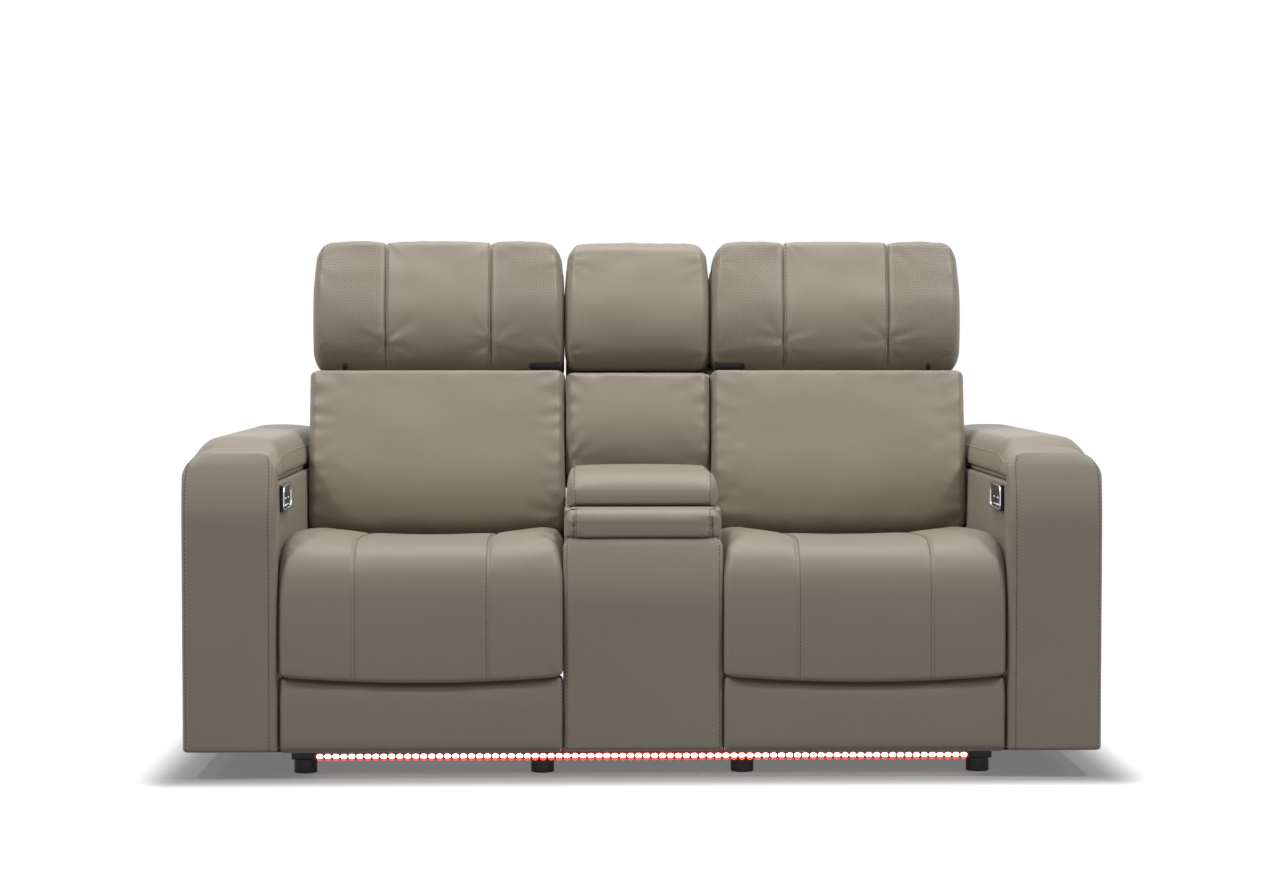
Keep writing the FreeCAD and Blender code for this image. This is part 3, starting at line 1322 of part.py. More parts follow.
def console_frame():
    """Boards of the console, with a floor under the storage."""
    half = "console_half_width - pad_thick"
    inner = "console_bin_half"
    z = ("base_top", "console_top")
    wide = ("0 - " + inner, inner)
    run = ("console_front_face", "console_rear")
    pieces = [
        box("ConsoleRightBoard", (inner, half), run, z),
        box("ConsoleLeftBoard", ("0 - (%s)" % half, "0 - " + inner), run, z),
        box("ConsoleFrontBoard", wide, ("console_front_face", "console_mouth_front"), z),
        box("ConsoleRearBoard", wide, ("console_rear - board_wall", "console_rear"), z),
        box("ConsoleMidBoard", wide, ("console_mouth_rear", "console_mouth_rear + board_wall"), z),
        box("ConsoleTopBoard", wide, ("console_mouth_rear + board_wall", "console_rear - board_wall"),
            ("console_top - board_wall", "console_top")),
        box("ConsoleBottomBoard", wide, ("console_mouth_front", "console_mouth_rear"),
            ("base_top", "base_top + board_wall")),
        box("ConsoleStorageFloor", wide, ("console_mouth_front", "console_mouth_rear"),
            ("console_floor_top - 12", "console_floor_top")),
    ]
    keep("console_frame", group("ConsoleFrame", pieces))


def console_cover():
    """Upholstered sides and rear, and the soft band above the front panel."""
    half = "console_half_width"
    board = "console_half_width - pad_thick"
    z = ("base_top", "console_top")
    pieces = [
        box("ConsoleRightPad", (board, half), ("console_front_face", "console_rear + pad_thick"), z),
        box("ConsoleLeftPad", ("0 - " + half, "0 - (%s)" % board),
            ("console_front_face", "console_rear + pad_thick"), z),
        box("ConsoleRearPad", ("0 - (%s)" % board, board), ("console_rear", "console_rear + pad_thick"), z),
    ]

    def place(across, out, where):
        return Vector(across, out, where)
    side = size("console_half_width") - 2
    low = size("console_panel_top") + 1
    high = size("console_top")
    rear = size("console_front_face")
    front = size("band_front")

    def section(where, draw):
        def point(across, out):
            return place(across, out, where)
        return face_section(point, draw * 0.4 - side + 1, side - 1 - draw * 0.4, rear, front + 10 + draw,
                            1, [], [9 - draw * 0.3], -1)
    band = loft([section(low, 8), section(low + 12, 0), section(high - 16, 0), section(high, 12)])
    pieces.append(soft("ConsoleBand", band))
    keep("console_cover", group("ConsoleCover", pieces))


def console_front():
    panel = box("ConsolePanelBlank", ("0 - console_panel_half", "console_panel_half"),
                ("console_panel_front", "console_front_face"), ("base_top", "console_panel_top"))
    doc.recompute()
    rounded = doc.addObject("Part::Fillet", "ConsolePanel")
    rounded.Base = panel
    tops = []
    for n, edge in enumerate(panel.Shape.Edges, start=1):
        middle = edge.CenterOfMass
        side = abs(abs(middle.x) - size("console_panel_half")) < 0.01
        if side and abs(middle.z - size("console_panel_top")) < 0.01:
            tops.append((n, size("console_panel_corner"), size("console_panel_corner")))
    rounded.Edges = tops
    keep("console_front", rounded)


def console_lid():
    """Board with knuckles over the hinge pins, and a crowned pad on it."""
    board_top = "console_lid_bottom + lid_board"
    half = "console_lid_half - 8"
    board = box("ConsoleLidBoard", ("0 - (%s)" % half, half),
                ("console_lid_front + 8", "console_lid_rear - 2"), ("console_lid_bottom", board_top))
    y, z = CONSOLE_PIN
    high = "console_lid_half - knuckle_inset / 2"
    low = high + " - knuckle_length"
    parts = [board]
    bores = []
    for side, (a, b) in (("Right", (low, high)), ("Left", ("0 - (%s)" % high, "0 - (%s)" % low))):
        parts.append(cylinder("ConsoleKnuckle" + side, "x", a, b, (y, z), "knuckle_radius"))
        parts.append(box("ConsoleTongue" + side, (a, b), ("console_lid_rear - 4", y),
                         ("console_lid_bottom", board_top)))
        bores.append(cylinder("ConsoleKnuckleBore" + side, "x", a + " - face_gap", b + " + face_gap",
                              (y, z), "lid_pin_radius + running_gap"))
    hinged = cut("ConsoleLidHinged", fuse("ConsoleLidBlank", parts), fuse("ConsoleLidBores", bores))

    def place(across, up, where):
        return Vector(across, where, up)
    bottom = size("console_lid_bottom") + size("lid_board") + size("soft_gap")
    pad = lid_pad(place, -size("console_lid_half"), size("console_lid_half"), bottom,
                  size("console_lid_edge"), size("console_lid_crown"),
                  (size("console_lid_front"), size("console_lid_rear")))
    keep("console_lid", group("ConsoleLid", [hinged, soft("ConsoleLidPad", pad)]))


def console_back():
    """Fixed back of the console: board, rear pad, back cushion and head cushion."""
    half = "console_half_width - pad_thick"
    board = box("ConsoleBackBoard", ("0 - (%s)" % half, half), ("back_board_face", "back_board_rear"),
                ("console_back_low", "console_back_board_high"))
    keep("console_back_frame", leaned("ConsoleBackFrame", [board]))
    depth = "console_shell_depth"
    shell = plate("ConsoleShell", ("2 - console_half_width", "console_half_width - 2"), [
        ("back_board_rear + soft_gap", "console_back_low + 1"),
        (depth, "console_back_low + 1 + (%s - back_board_rear) * tan(back_lean * 1deg)" % depth),
        (depth + " - console_shell_taper", "head_high - 60"),
        (depth + " - console_shell_taper - 40", "head_high - 16"),
        ("back_board_rear + soft_gap", "head_high - 8"),
    ])
    keep("console_back_shell", leaned("ConsoleBackShell", [shell]))
    width = size("console_half_width")
    low = size("console_back_low") + 12
    keep("console_back_cushion", padded_back("ConsoleBackCushion", -width, width, low,
                                             size("back_high")))
    side = width - 2
    draw = size("end_draw")
    marks = [(-side, draw * 1.4), (16 - side, 3), (0, 0), (side - 16, 3), (side, draw * 1.4)]
    head = soft("ConsoleHead", head_loft(marks, False))
    keep("console_head_cushion", leaned("ConsoleHeadCushion", [head]))


base_frame()
base_feet()
led_strip()
power_supply()
guide_stands()
actuator_rods()
seat_frame()
seat_springs()
seat_cushion()
front_roll()
seat_actuator()
footrest_board()
footrest_brackets()
footrest_pad()
footrest_stays()
back_frame()
back_shell()
back_cushion()
head_cushion()
head_frame()
arm_frame()
arm_cover()
arm_front()
arm_lid()
lid_hinges()
control_panel()
keys()
console_frame()
console_cover()
console_front()
console_lid()
console_back()
doc.recompute()

for item in doc.Objects:
    if "Invalid" in item.State or "Error" in item.State:
        raise RuntimeError("%s failed: %s" % (item.Name, item.State))
for piece in NODES:
    if piece.Shape.isNull() or not piece.Shape.isValid() or not piece.Shape.Solids:
        raise RuntimeError("%s has no valid shape" % piece.Label)

os.makedirs("parts", exist_ok=True)
for piece in NODES:
    piece.Shape.exportStep("parts/%s.step" % piece.Label)
print("%d sub-parts written" % len(NODES))
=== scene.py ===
"""Looks of a two-seat cinema recliner with a centre console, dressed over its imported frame."""

import math

import bmesh
import bpy
import numpy as np
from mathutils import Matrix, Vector, noise
from mathutils.bvhtree import BVHTree


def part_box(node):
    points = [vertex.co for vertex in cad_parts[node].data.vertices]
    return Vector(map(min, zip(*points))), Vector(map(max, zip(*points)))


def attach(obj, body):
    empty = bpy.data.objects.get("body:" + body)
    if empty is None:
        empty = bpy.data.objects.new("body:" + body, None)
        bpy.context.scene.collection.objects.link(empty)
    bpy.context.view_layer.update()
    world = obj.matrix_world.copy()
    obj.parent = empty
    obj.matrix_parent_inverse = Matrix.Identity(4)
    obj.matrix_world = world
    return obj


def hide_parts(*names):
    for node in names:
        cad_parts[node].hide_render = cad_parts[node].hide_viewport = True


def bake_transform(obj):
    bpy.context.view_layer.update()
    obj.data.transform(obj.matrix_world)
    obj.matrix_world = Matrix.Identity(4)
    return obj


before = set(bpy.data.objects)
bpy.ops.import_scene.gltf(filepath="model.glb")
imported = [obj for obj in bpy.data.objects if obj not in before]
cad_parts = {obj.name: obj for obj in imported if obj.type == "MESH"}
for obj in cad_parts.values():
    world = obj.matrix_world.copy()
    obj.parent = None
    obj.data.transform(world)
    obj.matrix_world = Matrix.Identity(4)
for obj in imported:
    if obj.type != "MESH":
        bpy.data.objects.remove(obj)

SIDES = {"right": 1, "left": -1}
LEAN = math.radians(13)
PIVOT_Y, PIVOT_Z = 0.110, 0.300
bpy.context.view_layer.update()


def mirrored(sign, span):
    """A span of x, from low to high, on the side that sign gives."""
    return sorted(sign * x for x in span)


# Colours, linear
LEATHER = (0.318, 0.276, 0.221)
THREAD = (0.11, 0.092, 0.07)


# Small tools


def smooth(value, low, high):
    """0 below low, 1 above high, an even turn between."""
    t = np.clip((value - low) / (high - low), 0, 1)
    return t * t * (3 - 2 * t)


def rumple(pitch, seed, x, y, z=0.0):
    """Soft noise from -1 to 1 at points, with humps about pitch apart."""
    scaled = np.stack(np.broadcast_arrays(x, y, z), axis=1) / pitch + seed
    return np.array([noise.noise(Vector(p)) for p in scaled])


def curve_through(knots, values, at):
    """Smooth curve through values at knots, read at the given places."""
    knots, values = np.asarray(knots, float), np.asarray(values, float)
    slopes = np.gradient(values, knots, axis=0)
    at = np.asarray(at, float)
    k = np.clip(np.searchsorted(knots, at) - 1, 0, len(knots) - 2)
    gap = knots[k + 1] - knots[k]
    t = (at - knots[k]) / gap
    t, gap = t[:, None], gap[:, None]
    h00, h10 = 2 * t**3 - 3 * t**2 + 1, t**3 - 2 * t**2 + t
    h01, h11 = -2 * t**3 + 3 * t**2, t**3 - t**2
    inside = h00 * values[k] + h10 * gap * slopes[k] + h01 * values[k + 1] + h11 * gap * slopes[k + 1]
    below = values[0] + (at - knots[0])[:, None] * slopes[0]
    above = values[-1] + (at - knots[-1])[:, None] * slopes[-1]
    inside = np.where((at < knots[0])[:, None], below, inside)
    return np.where((at > knots[-1])[:, None], above, inside)


def mesh_object(name, verts, faces, *materials):
    """A smooth-shaded mesh object with its materials."""
    mesh = bpy.data.meshes.new(name)
    mesh.from_pydata([tuple(v) for v in verts], [], [tuple(int(i) for i in f) for f in faces])
    mesh.validate()
    mesh.polygons.foreach_set("use_smooth", [True] * len(mesh.polygons))
    obj = bpy.data.objects.new(name, mesh)
    bpy.context.scene.collection.objects.link(obj)
    for material in materials:
        mesh.materials.append(material)
    return obj


def joined(pieces):
    """One list of vertices and faces out of several."""
    verts, faces, count = [], [], 0
    for piece_verts, piece_faces in pieces:
        verts.append(np.asarray(piece_verts))
        faces += [[i + count for i in face] for face in piece_faces]
        count += len(piece_verts)
    return np.concatenate(verts), faces


def finish_piece(obj, body, replaced=()):
    """Places a piece on its body and hides the nodes it stands for."""
    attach(obj, body)
    if replaced:
        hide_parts(*replaced)
    return obj


def recalculated(obj):
    """Turns every face outward."""
    bm = bmesh.new()
    bm.from_mesh(obj.data)
    bmesh.ops.recalc_face_normals(bm, faces=bm.faces)
    bm.to_mesh(obj.data)
    bm.free()


def leather_piece(name, pad, body, replaced=(), turned=False):
    """A pad's mesh as a leather piece. Where turned is set, its faces are made to look outward."""
    obj = mesh_object(name, *pad.mesh(), *LEATHER_SET)
    if turned:
        recalculated(obj)
    return finish_piece(obj, body, replaced)


def outward_piece(name, pieces, materials, body, replaced=()):
    """Several meshes as one object whose faces look outward."""
    obj = mesh_object(name, *joined(pieces), *materials)
    recalculated(obj)
    return finish_piece(obj, body, replaced)


def tube_faces(rings, sides, first=0):
    """Quads between neighbouring closed rings of points, counted from first."""
    faces = []
    for r in range(rings - 1):
        for k in range(sides):
            a, b = first + r * sides + k, first + r * sides + (k + 1) % sides
            faces.append([a, b, b + sides, a + sides])
    return faces


def track(p, s, q):
    """A row of points in a pad's own measures. Each of the three may be one number."""
    return np.stack(np.broadcast_arrays(p, s, q), axis=1).astype(float)


# Materials


class Nodes:
    """Short spelling for building the nodes of a material or the world."""

    def __init__(self, owner):
        owner.use_nodes = True
        self.owner, self.tree = owner, owner.node_tree
        self.shader = self.tree.nodes.get("Principled BSDF")
        if self.shader:
            self.coords = self.add("ShaderNodeTexCoord").outputs["Object"]

    def add(self, kind, inputs=(), **settings):
        """A new node. inputs gives some of its sockets a value, or another socket to join."""
        node = self.tree.nodes.new(kind)
        for key, value in settings.items():
            setattr(node, key, value)
        for key, value in dict(inputs).items():
            self.feed(node.inputs[key], value)
        return node

    def feed(self, socket, value):
        """Gives a socket a value, a colour of three numbers, or another socket to join."""
        if isinstance(value, bpy.types.NodeSocket):
            self.join(value, socket)
        elif socket.type == "RGBA":
            socket.default_value = (*value[:3], 1.0)
        else:
            socket.default_value = value

    def join(self, source, target):
        """Draws a link."""
        self.tree.links.new(source, target)

    def stretched(self, scale):
        """Object coordinates, scaled."""
        return self.add("ShaderNodeMapping", {"Scale": scale, "Vector": self.coords}).outputs["Vector"]

    def noise(self, scale, detail=3.0, roughness=0.5, vector=None):
        """Soft noise."""
        inputs = {"Scale": scale, "Detail": detail, "Roughness": roughness, "Vector": vector or self.coords}
        return self.add("ShaderNodeTexNoise", inputs).outputs["Fac"]

    def cells(self, scale, vector=None, dimensions="3D", randomness=1.0):
        """Distance to the nearest of scattered points."""
        inputs = {"Scale": scale, "Randomness": randomness, "Vector": vector or self.coords}
        return self.add("ShaderNodeTexVoronoi", inputs, voronoi_dimensions=dimensions).outputs["Distance"]

    def math(self, operation, a, b=0.0):
        """One sum of two numbers or sockets."""
        return self.add("ShaderNodeMath", {0: a, 1: b}, operation=operation).outputs[0]

    def ramp(self, factor, *stops):
        """Colours at places of a factor."""
        node = self.add("ShaderNodeValToRGB", {"Fac": factor})
        elements = node.color_ramp.elements
        while len(elements) < len(stops):
            elements.new(0.5)
        for element, (place, colour) in zip(elements, stops):
            element.position = place
            element.color = (*colour, 1.0)
        return node.outputs["Color"]

    def mix(self, factor, a, b, blend="MIX"):
        """Two colours mixed."""
        inputs = {0: factor, 6: a, 7: b}
        return self.add("ShaderNodeMix", inputs, data_type="RGBA", blend_type=blend).outputs[2]

    def spread(self, factor, low, high):
        """A factor of 0 to 1 taken to low to high."""
        return self.add("ShaderNodeMapRange", {"Value": factor, "To Min": low, "To Max": high}).outputs[0]

    def bump(self, height, distance, strength=1.0, below=None):
        """A surface raised by a height, over the bumps below it."""
        inputs = {"Distance": distance, "Strength": strength, "Height": height}
        if below is not None:
            inputs["Normal"] = below
        return self.add("ShaderNodeBump", inputs).outputs["Normal"]

    def seen_directly(self):
        """1 where the camera sees a thing itself, mirrored or through glass, and 0 where it only lights."""
        path = self.add("ShaderNodeLightPath").outputs
        other = self.math("MAXIMUM", path["Is Glossy Ray"], path["Is Transmission Ray"])
        return self.math("MAXIMUM", path["Is Camera Ray"], other)

    def colour(self, socket):
        """Joins the base colour."""
        self.join(socket, self.shader.inputs["Base Color"])

    def rough(self, factor, low, high):
        """Joins a roughness from low to high."""
        self.join(self.spread(factor, low, high), self.shader.inputs["Roughness"])

    def normal(self, socket):
        """Joins the normal."""
        self.join(socket, self.shader.inputs["Normal"])

    def set(self, **values):
        """Sets plain values of the shader."""
        for name, value in values.items():
            self.shader.inputs[name.replace("_", " ")].default_value = value


def tone(colour, factor):
    """A colour made darker or lighter."""
    return tuple(min(1.0, c * factor) for c in colour)


def leather_material(name, colour, perforated=False):
    """Smooth top-grain leather: fine pebble, faint creases, a satin face and slow changes of tone."""
    n = Nodes(bpy.data.materials.new(name))
    broad = n.noise(2.6, detail=2.0)
    mottle = n.noise(45.0, detail=4.0, roughness=0.6)
    body = n.ramp(broad, (0.3, tone(colour, 0.97)), (0.7, tone(colour, 1.03)))
    flecks = n.ramp(mottle, (0.35, (0.975, 0.975, 0.975)), (0.65, (1.0, 1.0, 1.0)))
    face = n.mix(1.0, body, flecks, "MULTIPLY")
    pebble = n.cells(820.0)
    pores = n.noise(2600.0, detail=2.0)
    creases = n.noise(30.0, detail=6.0, roughness=0.62, vector=n.stretched((1.0, 1.0, 0.45)))
    normal = n.bump(creases, 0.0006, 0.22)
    normal = n.bump(pebble, 0.00022, 0.42, normal)
    normal = n.bump(pores, 0.00006, 0.35, normal)
    if perforated:
        holes = perforations(n)
        # The punched holes are painted near-black: painted shade inside each hole.
        face = n.mix(holes, face, tone(colour, 0.22))
        normal = n.bump(n.math("SUBTRACT", 1.0, holes), 0.0006, 0.8, normal)
    n.colour(face)
    n.rough(mottle, 0.40, 0.48)
    n.normal(normal)
    n.set(Specular_IOR_Level=0.42, Sheen_Weight=0.06, Sheen_Roughness=0.5)
    return n.owner


def perforations(n):
    """Rows of punched holes, staggered, seen from the front of the leather."""
    split = n.add("ShaderNodeSeparateXYZ", {0: n.coords}).outputs
    ways = {"X": n.math("ADD", split["X"], split["Z"]), "Y": n.math("SUBTRACT", split["X"], split["Z"])}
    turned = n.add("ShaderNodeCombineXYZ", ways).outputs[0]
    distance = n.cells(132.0, vector=turned, dimensions="2D", randomness=0.0)
    return n.math("LESS_THAN", distance, 0.19)


def thread_material():
    """Twisted sewing thread, its colour lighter on the crowns of the twist and darker in its grooves: painted
    shading.
    """
    n = Nodes(bpy.data.materials.new("thread"))
    waves = {"Scale": 900.0, "Distortion": 1.5, "Vector": n.coords}
    twist = n.add("ShaderNodeTexWave", waves).outputs["Fac"]
    # The colour follows the twist's relief: painted highlight on the crowns and painted shade in the grooves.
    n.colour(n.ramp(twist, (0.2, tone(THREAD, 0.75)), (0.8, tone(THREAD, 1.3))))
    n.rough(twist, 0.55, 0.75)
    n.normal(n.bump(twist, 0.0002, 0.6))
    return n.owner


def metal_material(name, colour, low, high, scale=160.0):
    """Bare or plated metal with fine lines and smudges."""
    n = Nodes(bpy.data.materials.new(name))
    lines = n.noise(scale, detail=4.0)
    smudge = n.noise(14.0, detail=3.0)
    n.colour(n.ramp(smudge, (0.3, tone(colour, 0.86)), (0.7, colour)))
    n.rough(lines, low, high)
    n.normal(n.bump(lines, 0.00008, 0.5))
    n.set(Metallic=1.0)
    return n.owner


def coated_material(name, colour, low, high, grain=900.0, depth=0.00012, metallic=0.0):
    """Powder-coated steel or moulded plastic: fine orange-peel texture, dusty patches, worn tone."""
    n = Nodes(bpy.data.materials.new(name))
    peel = n.noise(grain, detail=2.0)
    dust = n.noise(9.0, detail=5.0, roughness=0.6)
    n.colour(n.ramp(dust, (0.3, tone(colour, 0.85)), (0.75, tone(colour, 1.25))))
    n.rough(dust, low, high)
    n.normal(n.bump(peel, depth, 0.7))
    n.set(Metallic=metallic)
    return n.owner


def glass_material():
    """Dark blue-black printed glass of the switch panel."""
    n = Nodes(bpy.data.materials.new("panel_glass"))
    film = n.noise(40.0, detail=3.0)
    n.colour(n.ramp(film, (0.3, (0.006, 0.010, 0.024)), (0.7, (0.012, 0.020, 0.045))))
    n.rough(film, 0.05, 0.14)
    n.normal(n.bump(film, 0.00003, 0.3))
    n.set(Specular_IOR_Level=0.2, Coat_Weight=0.2, Coat_Roughness=0.03)
    return n.owner


def glow_material(name, colour, strength, base=(0.8, 0.8, 0.8)):
    """A lit lens: brighter in the middle of each grain of its diffuser."""
    n = Nodes(bpy.data.materials.new(name))
    grain = n.noise(600.0, detail=1.0)
    n.colour(n.ramp(grain, (0.3, tone(base, 0.9)), (0.7, base)))
    n.join(n.ramp(grain, (0.2, tone(colour, 0.9)), (0.8, colour)), n.shader.inputs["Emission Color"])
    n.rough(grain, 0.2, 0.35)
    n.set(Emission_Strength=strength)
    return n.owner


MATERIALS = {
    "leather": leather_material("taupe_leather", LEATHER),
    "perforated": leather_material("perforated_leather", LEATHER, perforated=True),
    "piping": leather_material("piping_leather", tone(LEATHER, 1.05)),
    "thread": thread_material(),
    "black_steel": coated_material("powder_coated_steel", (0.022, 0.022, 0.024), 0.38, 0.55, metallic=0.3),
    "bright_steel": metal_material("zinc_plated_steel", (0.55, 0.55, 0.54), 0.26, 0.42),
    "chrome": metal_material("chrome", (0.78, 0.79, 0.80), 0.05, 0.12, scale=60.0),
    "black_plastic": coated_material("moulded_black_plastic", (0.018, 0.018, 0.019), 0.42, 0.6, grain=1400.0),
    "key_plastic": coated_material("key_plastic", (0.05, 0.055, 0.07), 0.22, 0.35, grain=1800.0,
                                   depth=0.00005),
    "glass": glass_material(),
    "strip": coated_material("strip_channel", (0.50, 0.06, 0.04), 0.3, 0.5, grain=500.0),
    # Near-black on the inner frames, so the gaps between cushions where they show read dark: painted shade in
    # those gaps.
    "gap_shade_black": coated_material("frame_painted_shade_black", (0.014, 0.0125, 0.011), 0.85, 0.95, grain=1500.0, depth=0.0002),
    "white_led": glow_material("white_led", (1.0, 0.96, 0.93), 9.0),
    "red_led": glow_material("red_led", (1.0, 0.075, 0.045), 1.6, base=(0.8, 0.1, 0.07)),
    "icon": glow_material("icon_light", (0.85, 0.92, 1.0), 0.9),
}
LEATHER_SET = (MATERIALS["leather"], MATERIALS["perforated"])


# Stuffed pads

SEAM_REACHES = [0.0015, 0.003, 0.0045, 0.007, 0.012, 0.020]
SEAM_STEPS = np.array([-reach for reach in SEAM_REACHES[::-1]] + [0] + SEAM_REACHES)
CLOSEST = 0.0009


def grid_lines(low, high, round_low, round_high, cell, seams):
    """Grid lines from low to high, closer together in the rounded ends and beside each seam."""
    arc = 1 - np.tan(np.linspace(0, math.pi / 4, 7))
    count = max(2, int(round((high - low - round_low - round_high) / cell)) + 1)
    lines = [low + round_low * arc, high - round_high * arc]
    lines.append(np.linspace(low + round_low, high - round_high, count))
    lines += [seam + SEAM_STEPS for seam in seams]
    values = np.sort(np.concatenate(lines))
    values = values[(values >= low) & (values <= high)]
    kept = [low]
    for value in values:
        if value - kept[-1] > CLOSEST and high - value > CLOSEST:
            kept.append(value)
    return np.array(kept + [high])


def box_skin(lines):
    """Vertices and quads of a box divided by three sets of grid lines."""
    sizes = [len(axis) for axis in lines]
    quads = []
    for axis in range(3):
        a, b = (axis + 1) % 3, (axis + 2) % 3
        i, j = np.meshgrid(np.arange(sizes[a] - 1), np.arange(sizes[b] - 1), indexing="ij")
        for end in (0, sizes[axis] - 1):
            corners = []
            for di, dj in ((0, 0), (1, 0), (1, 1), (0, 1)):
                place = [None, None, None]
                place[axis] = np.full_like(i, end)
                place[a], place[b] = i + di, j + dj
                x, y, z = place
                corners.append((x + sizes[0] * (y + sizes[1] * z)).ravel())
            quad = np.stack(corners, axis=1)
            quads.append(quad if end else quad[:, ::-1])
    quads = np.concatenate(quads)
    used, faces = np.unique(quads, return_inverse=True)
    faces = faces.reshape(quads.shape)
    i, j, k = used % sizes[0], used // sizes[0] % sizes[1], used // (sizes[0] * sizes[1])
    return np.stack([lines[0][i], lines[1][j], lines[2][k]], axis=1), faces


class Pad:
    """A stuffed block. p runs across it, s along it, and q from its back to its face.

    relief(point, unit) may move the points in place, and returns how far the face swells at each.
    """

    def __init__(self, p, s, depth, rounds, place, cell=0.012, seams=(), rows=(), corners=None, relief=None):
        self.low = np.array([p[0], s[0], 0.0])
        self.high = np.array([p[1], s[1], depth])
        self.rounds = np.array(rounds, float)
        self.place, self.relief, self.corners = place, relief, corners
        self.closer, self.cell = (seams, rows, ()), cell

    def bent_corners(self, point):
        """Turns the four corners of the face into arcs: low-low, high-low, low-high, high-high."""
        for n, radius in enumerate(self.corners):
            if not radius:
                continue
            sign_p, sign_s = (1 if n % 2 else -1), (1 if n > 1 else -1)
            centre_p = (self.high[0] - radius) if n % 2 else (self.low[0] + radius)
            centre_s = (self.high[1] - radius) if n > 1 else (self.low[1] + radius)
            a = (point[:, 0] - centre_p) * sign_p
            b = (point[:, 1] - centre_s) * sign_s
            inside = (a > 0) & (b > 0)
            a2, b2 = np.clip(a / radius, 0, 1.1) ** 2 / 2, np.clip(b / radius, 0, 1.1) ** 2 / 2
            point[:, 0] = np.where(inside, centre_p + sign_p * a * np.sqrt(1 - b2), point[:, 0])
            point[:, 1] = np.where(inside, centre_s + sign_s * b * np.sqrt(1 - a2), point[:, 1])
        return point

    def shape(self, box):
        """Where points on the plain box go on the finished pad."""
        box = np.asarray(box, float)
        low_r, high_r = self.rounds[:, 0], self.rounds[:, 1]
        core = np.clip(box, self.low + low_r, self.high - high_r)
        gap = box - core
        radius = np.where(gap < 0, low_r, high_r)
        unit = gap / radius
        unit /= np.maximum(np.linalg.norm(unit, axis=1, keepdims=True), 1e-9)
        point = core + unit * radius
        if self.corners:
            point = self.bent_corners(point)
        if self.relief:
            swell = self.relief(point, unit)
            point[:, 2] += swell * np.clip(unit[:, 2], 0, 1)
        return np.stack(self.place(*point.T), axis=1)

    def mesh(self):
        """Its vertices and faces. Where the vertices were on the plain box is kept in box_points."""
        lines = [grid_lines(self.low[k], self.high[k], *self.rounds[k], self.cell, self.closer[k])
                 for k in range(3)]
        self.box_points, faces = box_skin(lines)
        return self.shape(self.box_points), faces


def centred(p, middle, half):
    """Place across the pad, 0 in the middle and 1 at either side."""
    return np.abs(p - middle) / half


def seam_groove(offset, depth=0.0026, width=0.0022, valley=0.003, spread=0.02):
    """A sewn seam: a narrow groove in a wider soft valley."""
    return -depth * np.exp(-((offset / width) ** 2)) - valley * np.exp(-np.abs(offset) / spread)


def gathers(offset, along, strength, pitch, reach, seed):
    """Small puckers that run away from a seam and fade with distance from it."""
    return strength * rumple(pitch, seed, offset * 0.15, along) * np.exp(-np.abs(offset) / reach)


def curled(distance, start, depth, power=2.5):
    """How far a face falls back at a distance from its edge, from nothing at start to depth at the edge."""
    return depth * np.clip(1 - distance / start, 0, 1) ** power


def pinched_corners(swell, p, s, middle, half, seed, *pinches):
    """Adds creases from both sides of a pad, at each (place along it, strength, reach)."""
    for corner in (-1, 1):
        for along, strength, reach in pinches:
            swell += fans(p, s, (middle + corner * half, along), strength, reach, seed + corner)


def fans(p, s, centre, strength, reach, seed, count=2.6):
    """Creases that spread out from one pinched point."""
    across, along = p - centre[0], s - centre[1]
    far, turn = np.hypot(across, along), np.arctan2(along, across)
    wave = rumple(1.0, seed, np.cos(turn) * count, np.sin(turn) * count, far * 5)
    return strength * wave * np.exp(-far / reach) * smooth(far, 0.0, 0.02)


def upright(y_back):
    """A pad that stands upright and looks forward: s is height."""
    return lambda p, s, q: (p, y_back - q, s)


def leaned(rear):
    """A pad on the leaned back, facing forward: s runs up the back from the recline pivot."""
    return lambda p, s, q: (p, *on_lean(s, rear - q))


def on_lean(s, v):
    """Where a place up the leaned back and behind it lies, as y and z."""
    cos, sin = math.cos(LEAN), math.sin(LEAN)
    return PIVOT_Y + v * cos + s * sin, PIVOT_Z - v * sin + s * cos


def lying(z_back):
    """A pad that lies flat and looks up: s is depth, from front to rear."""
    return lambda p, s, q: (p, s, z_back + q)


# Threads and piping

THREAD_STEP, WELT_STEP = 0.004, 0.006


def surface_of(obj):
    """A tree that finds the nearest place on a piece's mesh."""
    return BVHTree.FromPolygons([v.co for v in obj.data.vertices], [p.vertices for p in obj.data.polygons])


def resampled(points, pitch):
    """Points spaced evenly along a row of points."""
    points = np.asarray(points, float)
    lengths = path_lengths(points)
    count = max(2, int(lengths[-1] / pitch) + 1)
    return read_along(points, lengths, np.linspace(0, lengths[-1], count))


def path_lengths(points):
    """Distance along a row of points, at each of them."""
    steps = np.linalg.norm(np.diff(np.asarray(points), axis=0), axis=1)
    return np.concatenate([[0], np.cumsum(steps)])


def read_along(values, lengths, where):
    """Values read at distances along the path they belong to."""
    return np.stack([np.interp(where, lengths, values[:, k]) for k in range(3)], axis=1)


def unit_rows(rows):
    """Each row made one long."""
    return rows / np.maximum(np.linalg.norm(rows, axis=1, keepdims=True), 1e-9)


def laid_on(tree, points):
    """Points moved to the nearest places on a surface, and the normals there."""
    hits = [tree.find_nearest(Vector(point)) for point in points]
    return np.array([hit[0] for hit in hits]), np.array([hit[1] for hit in hits])


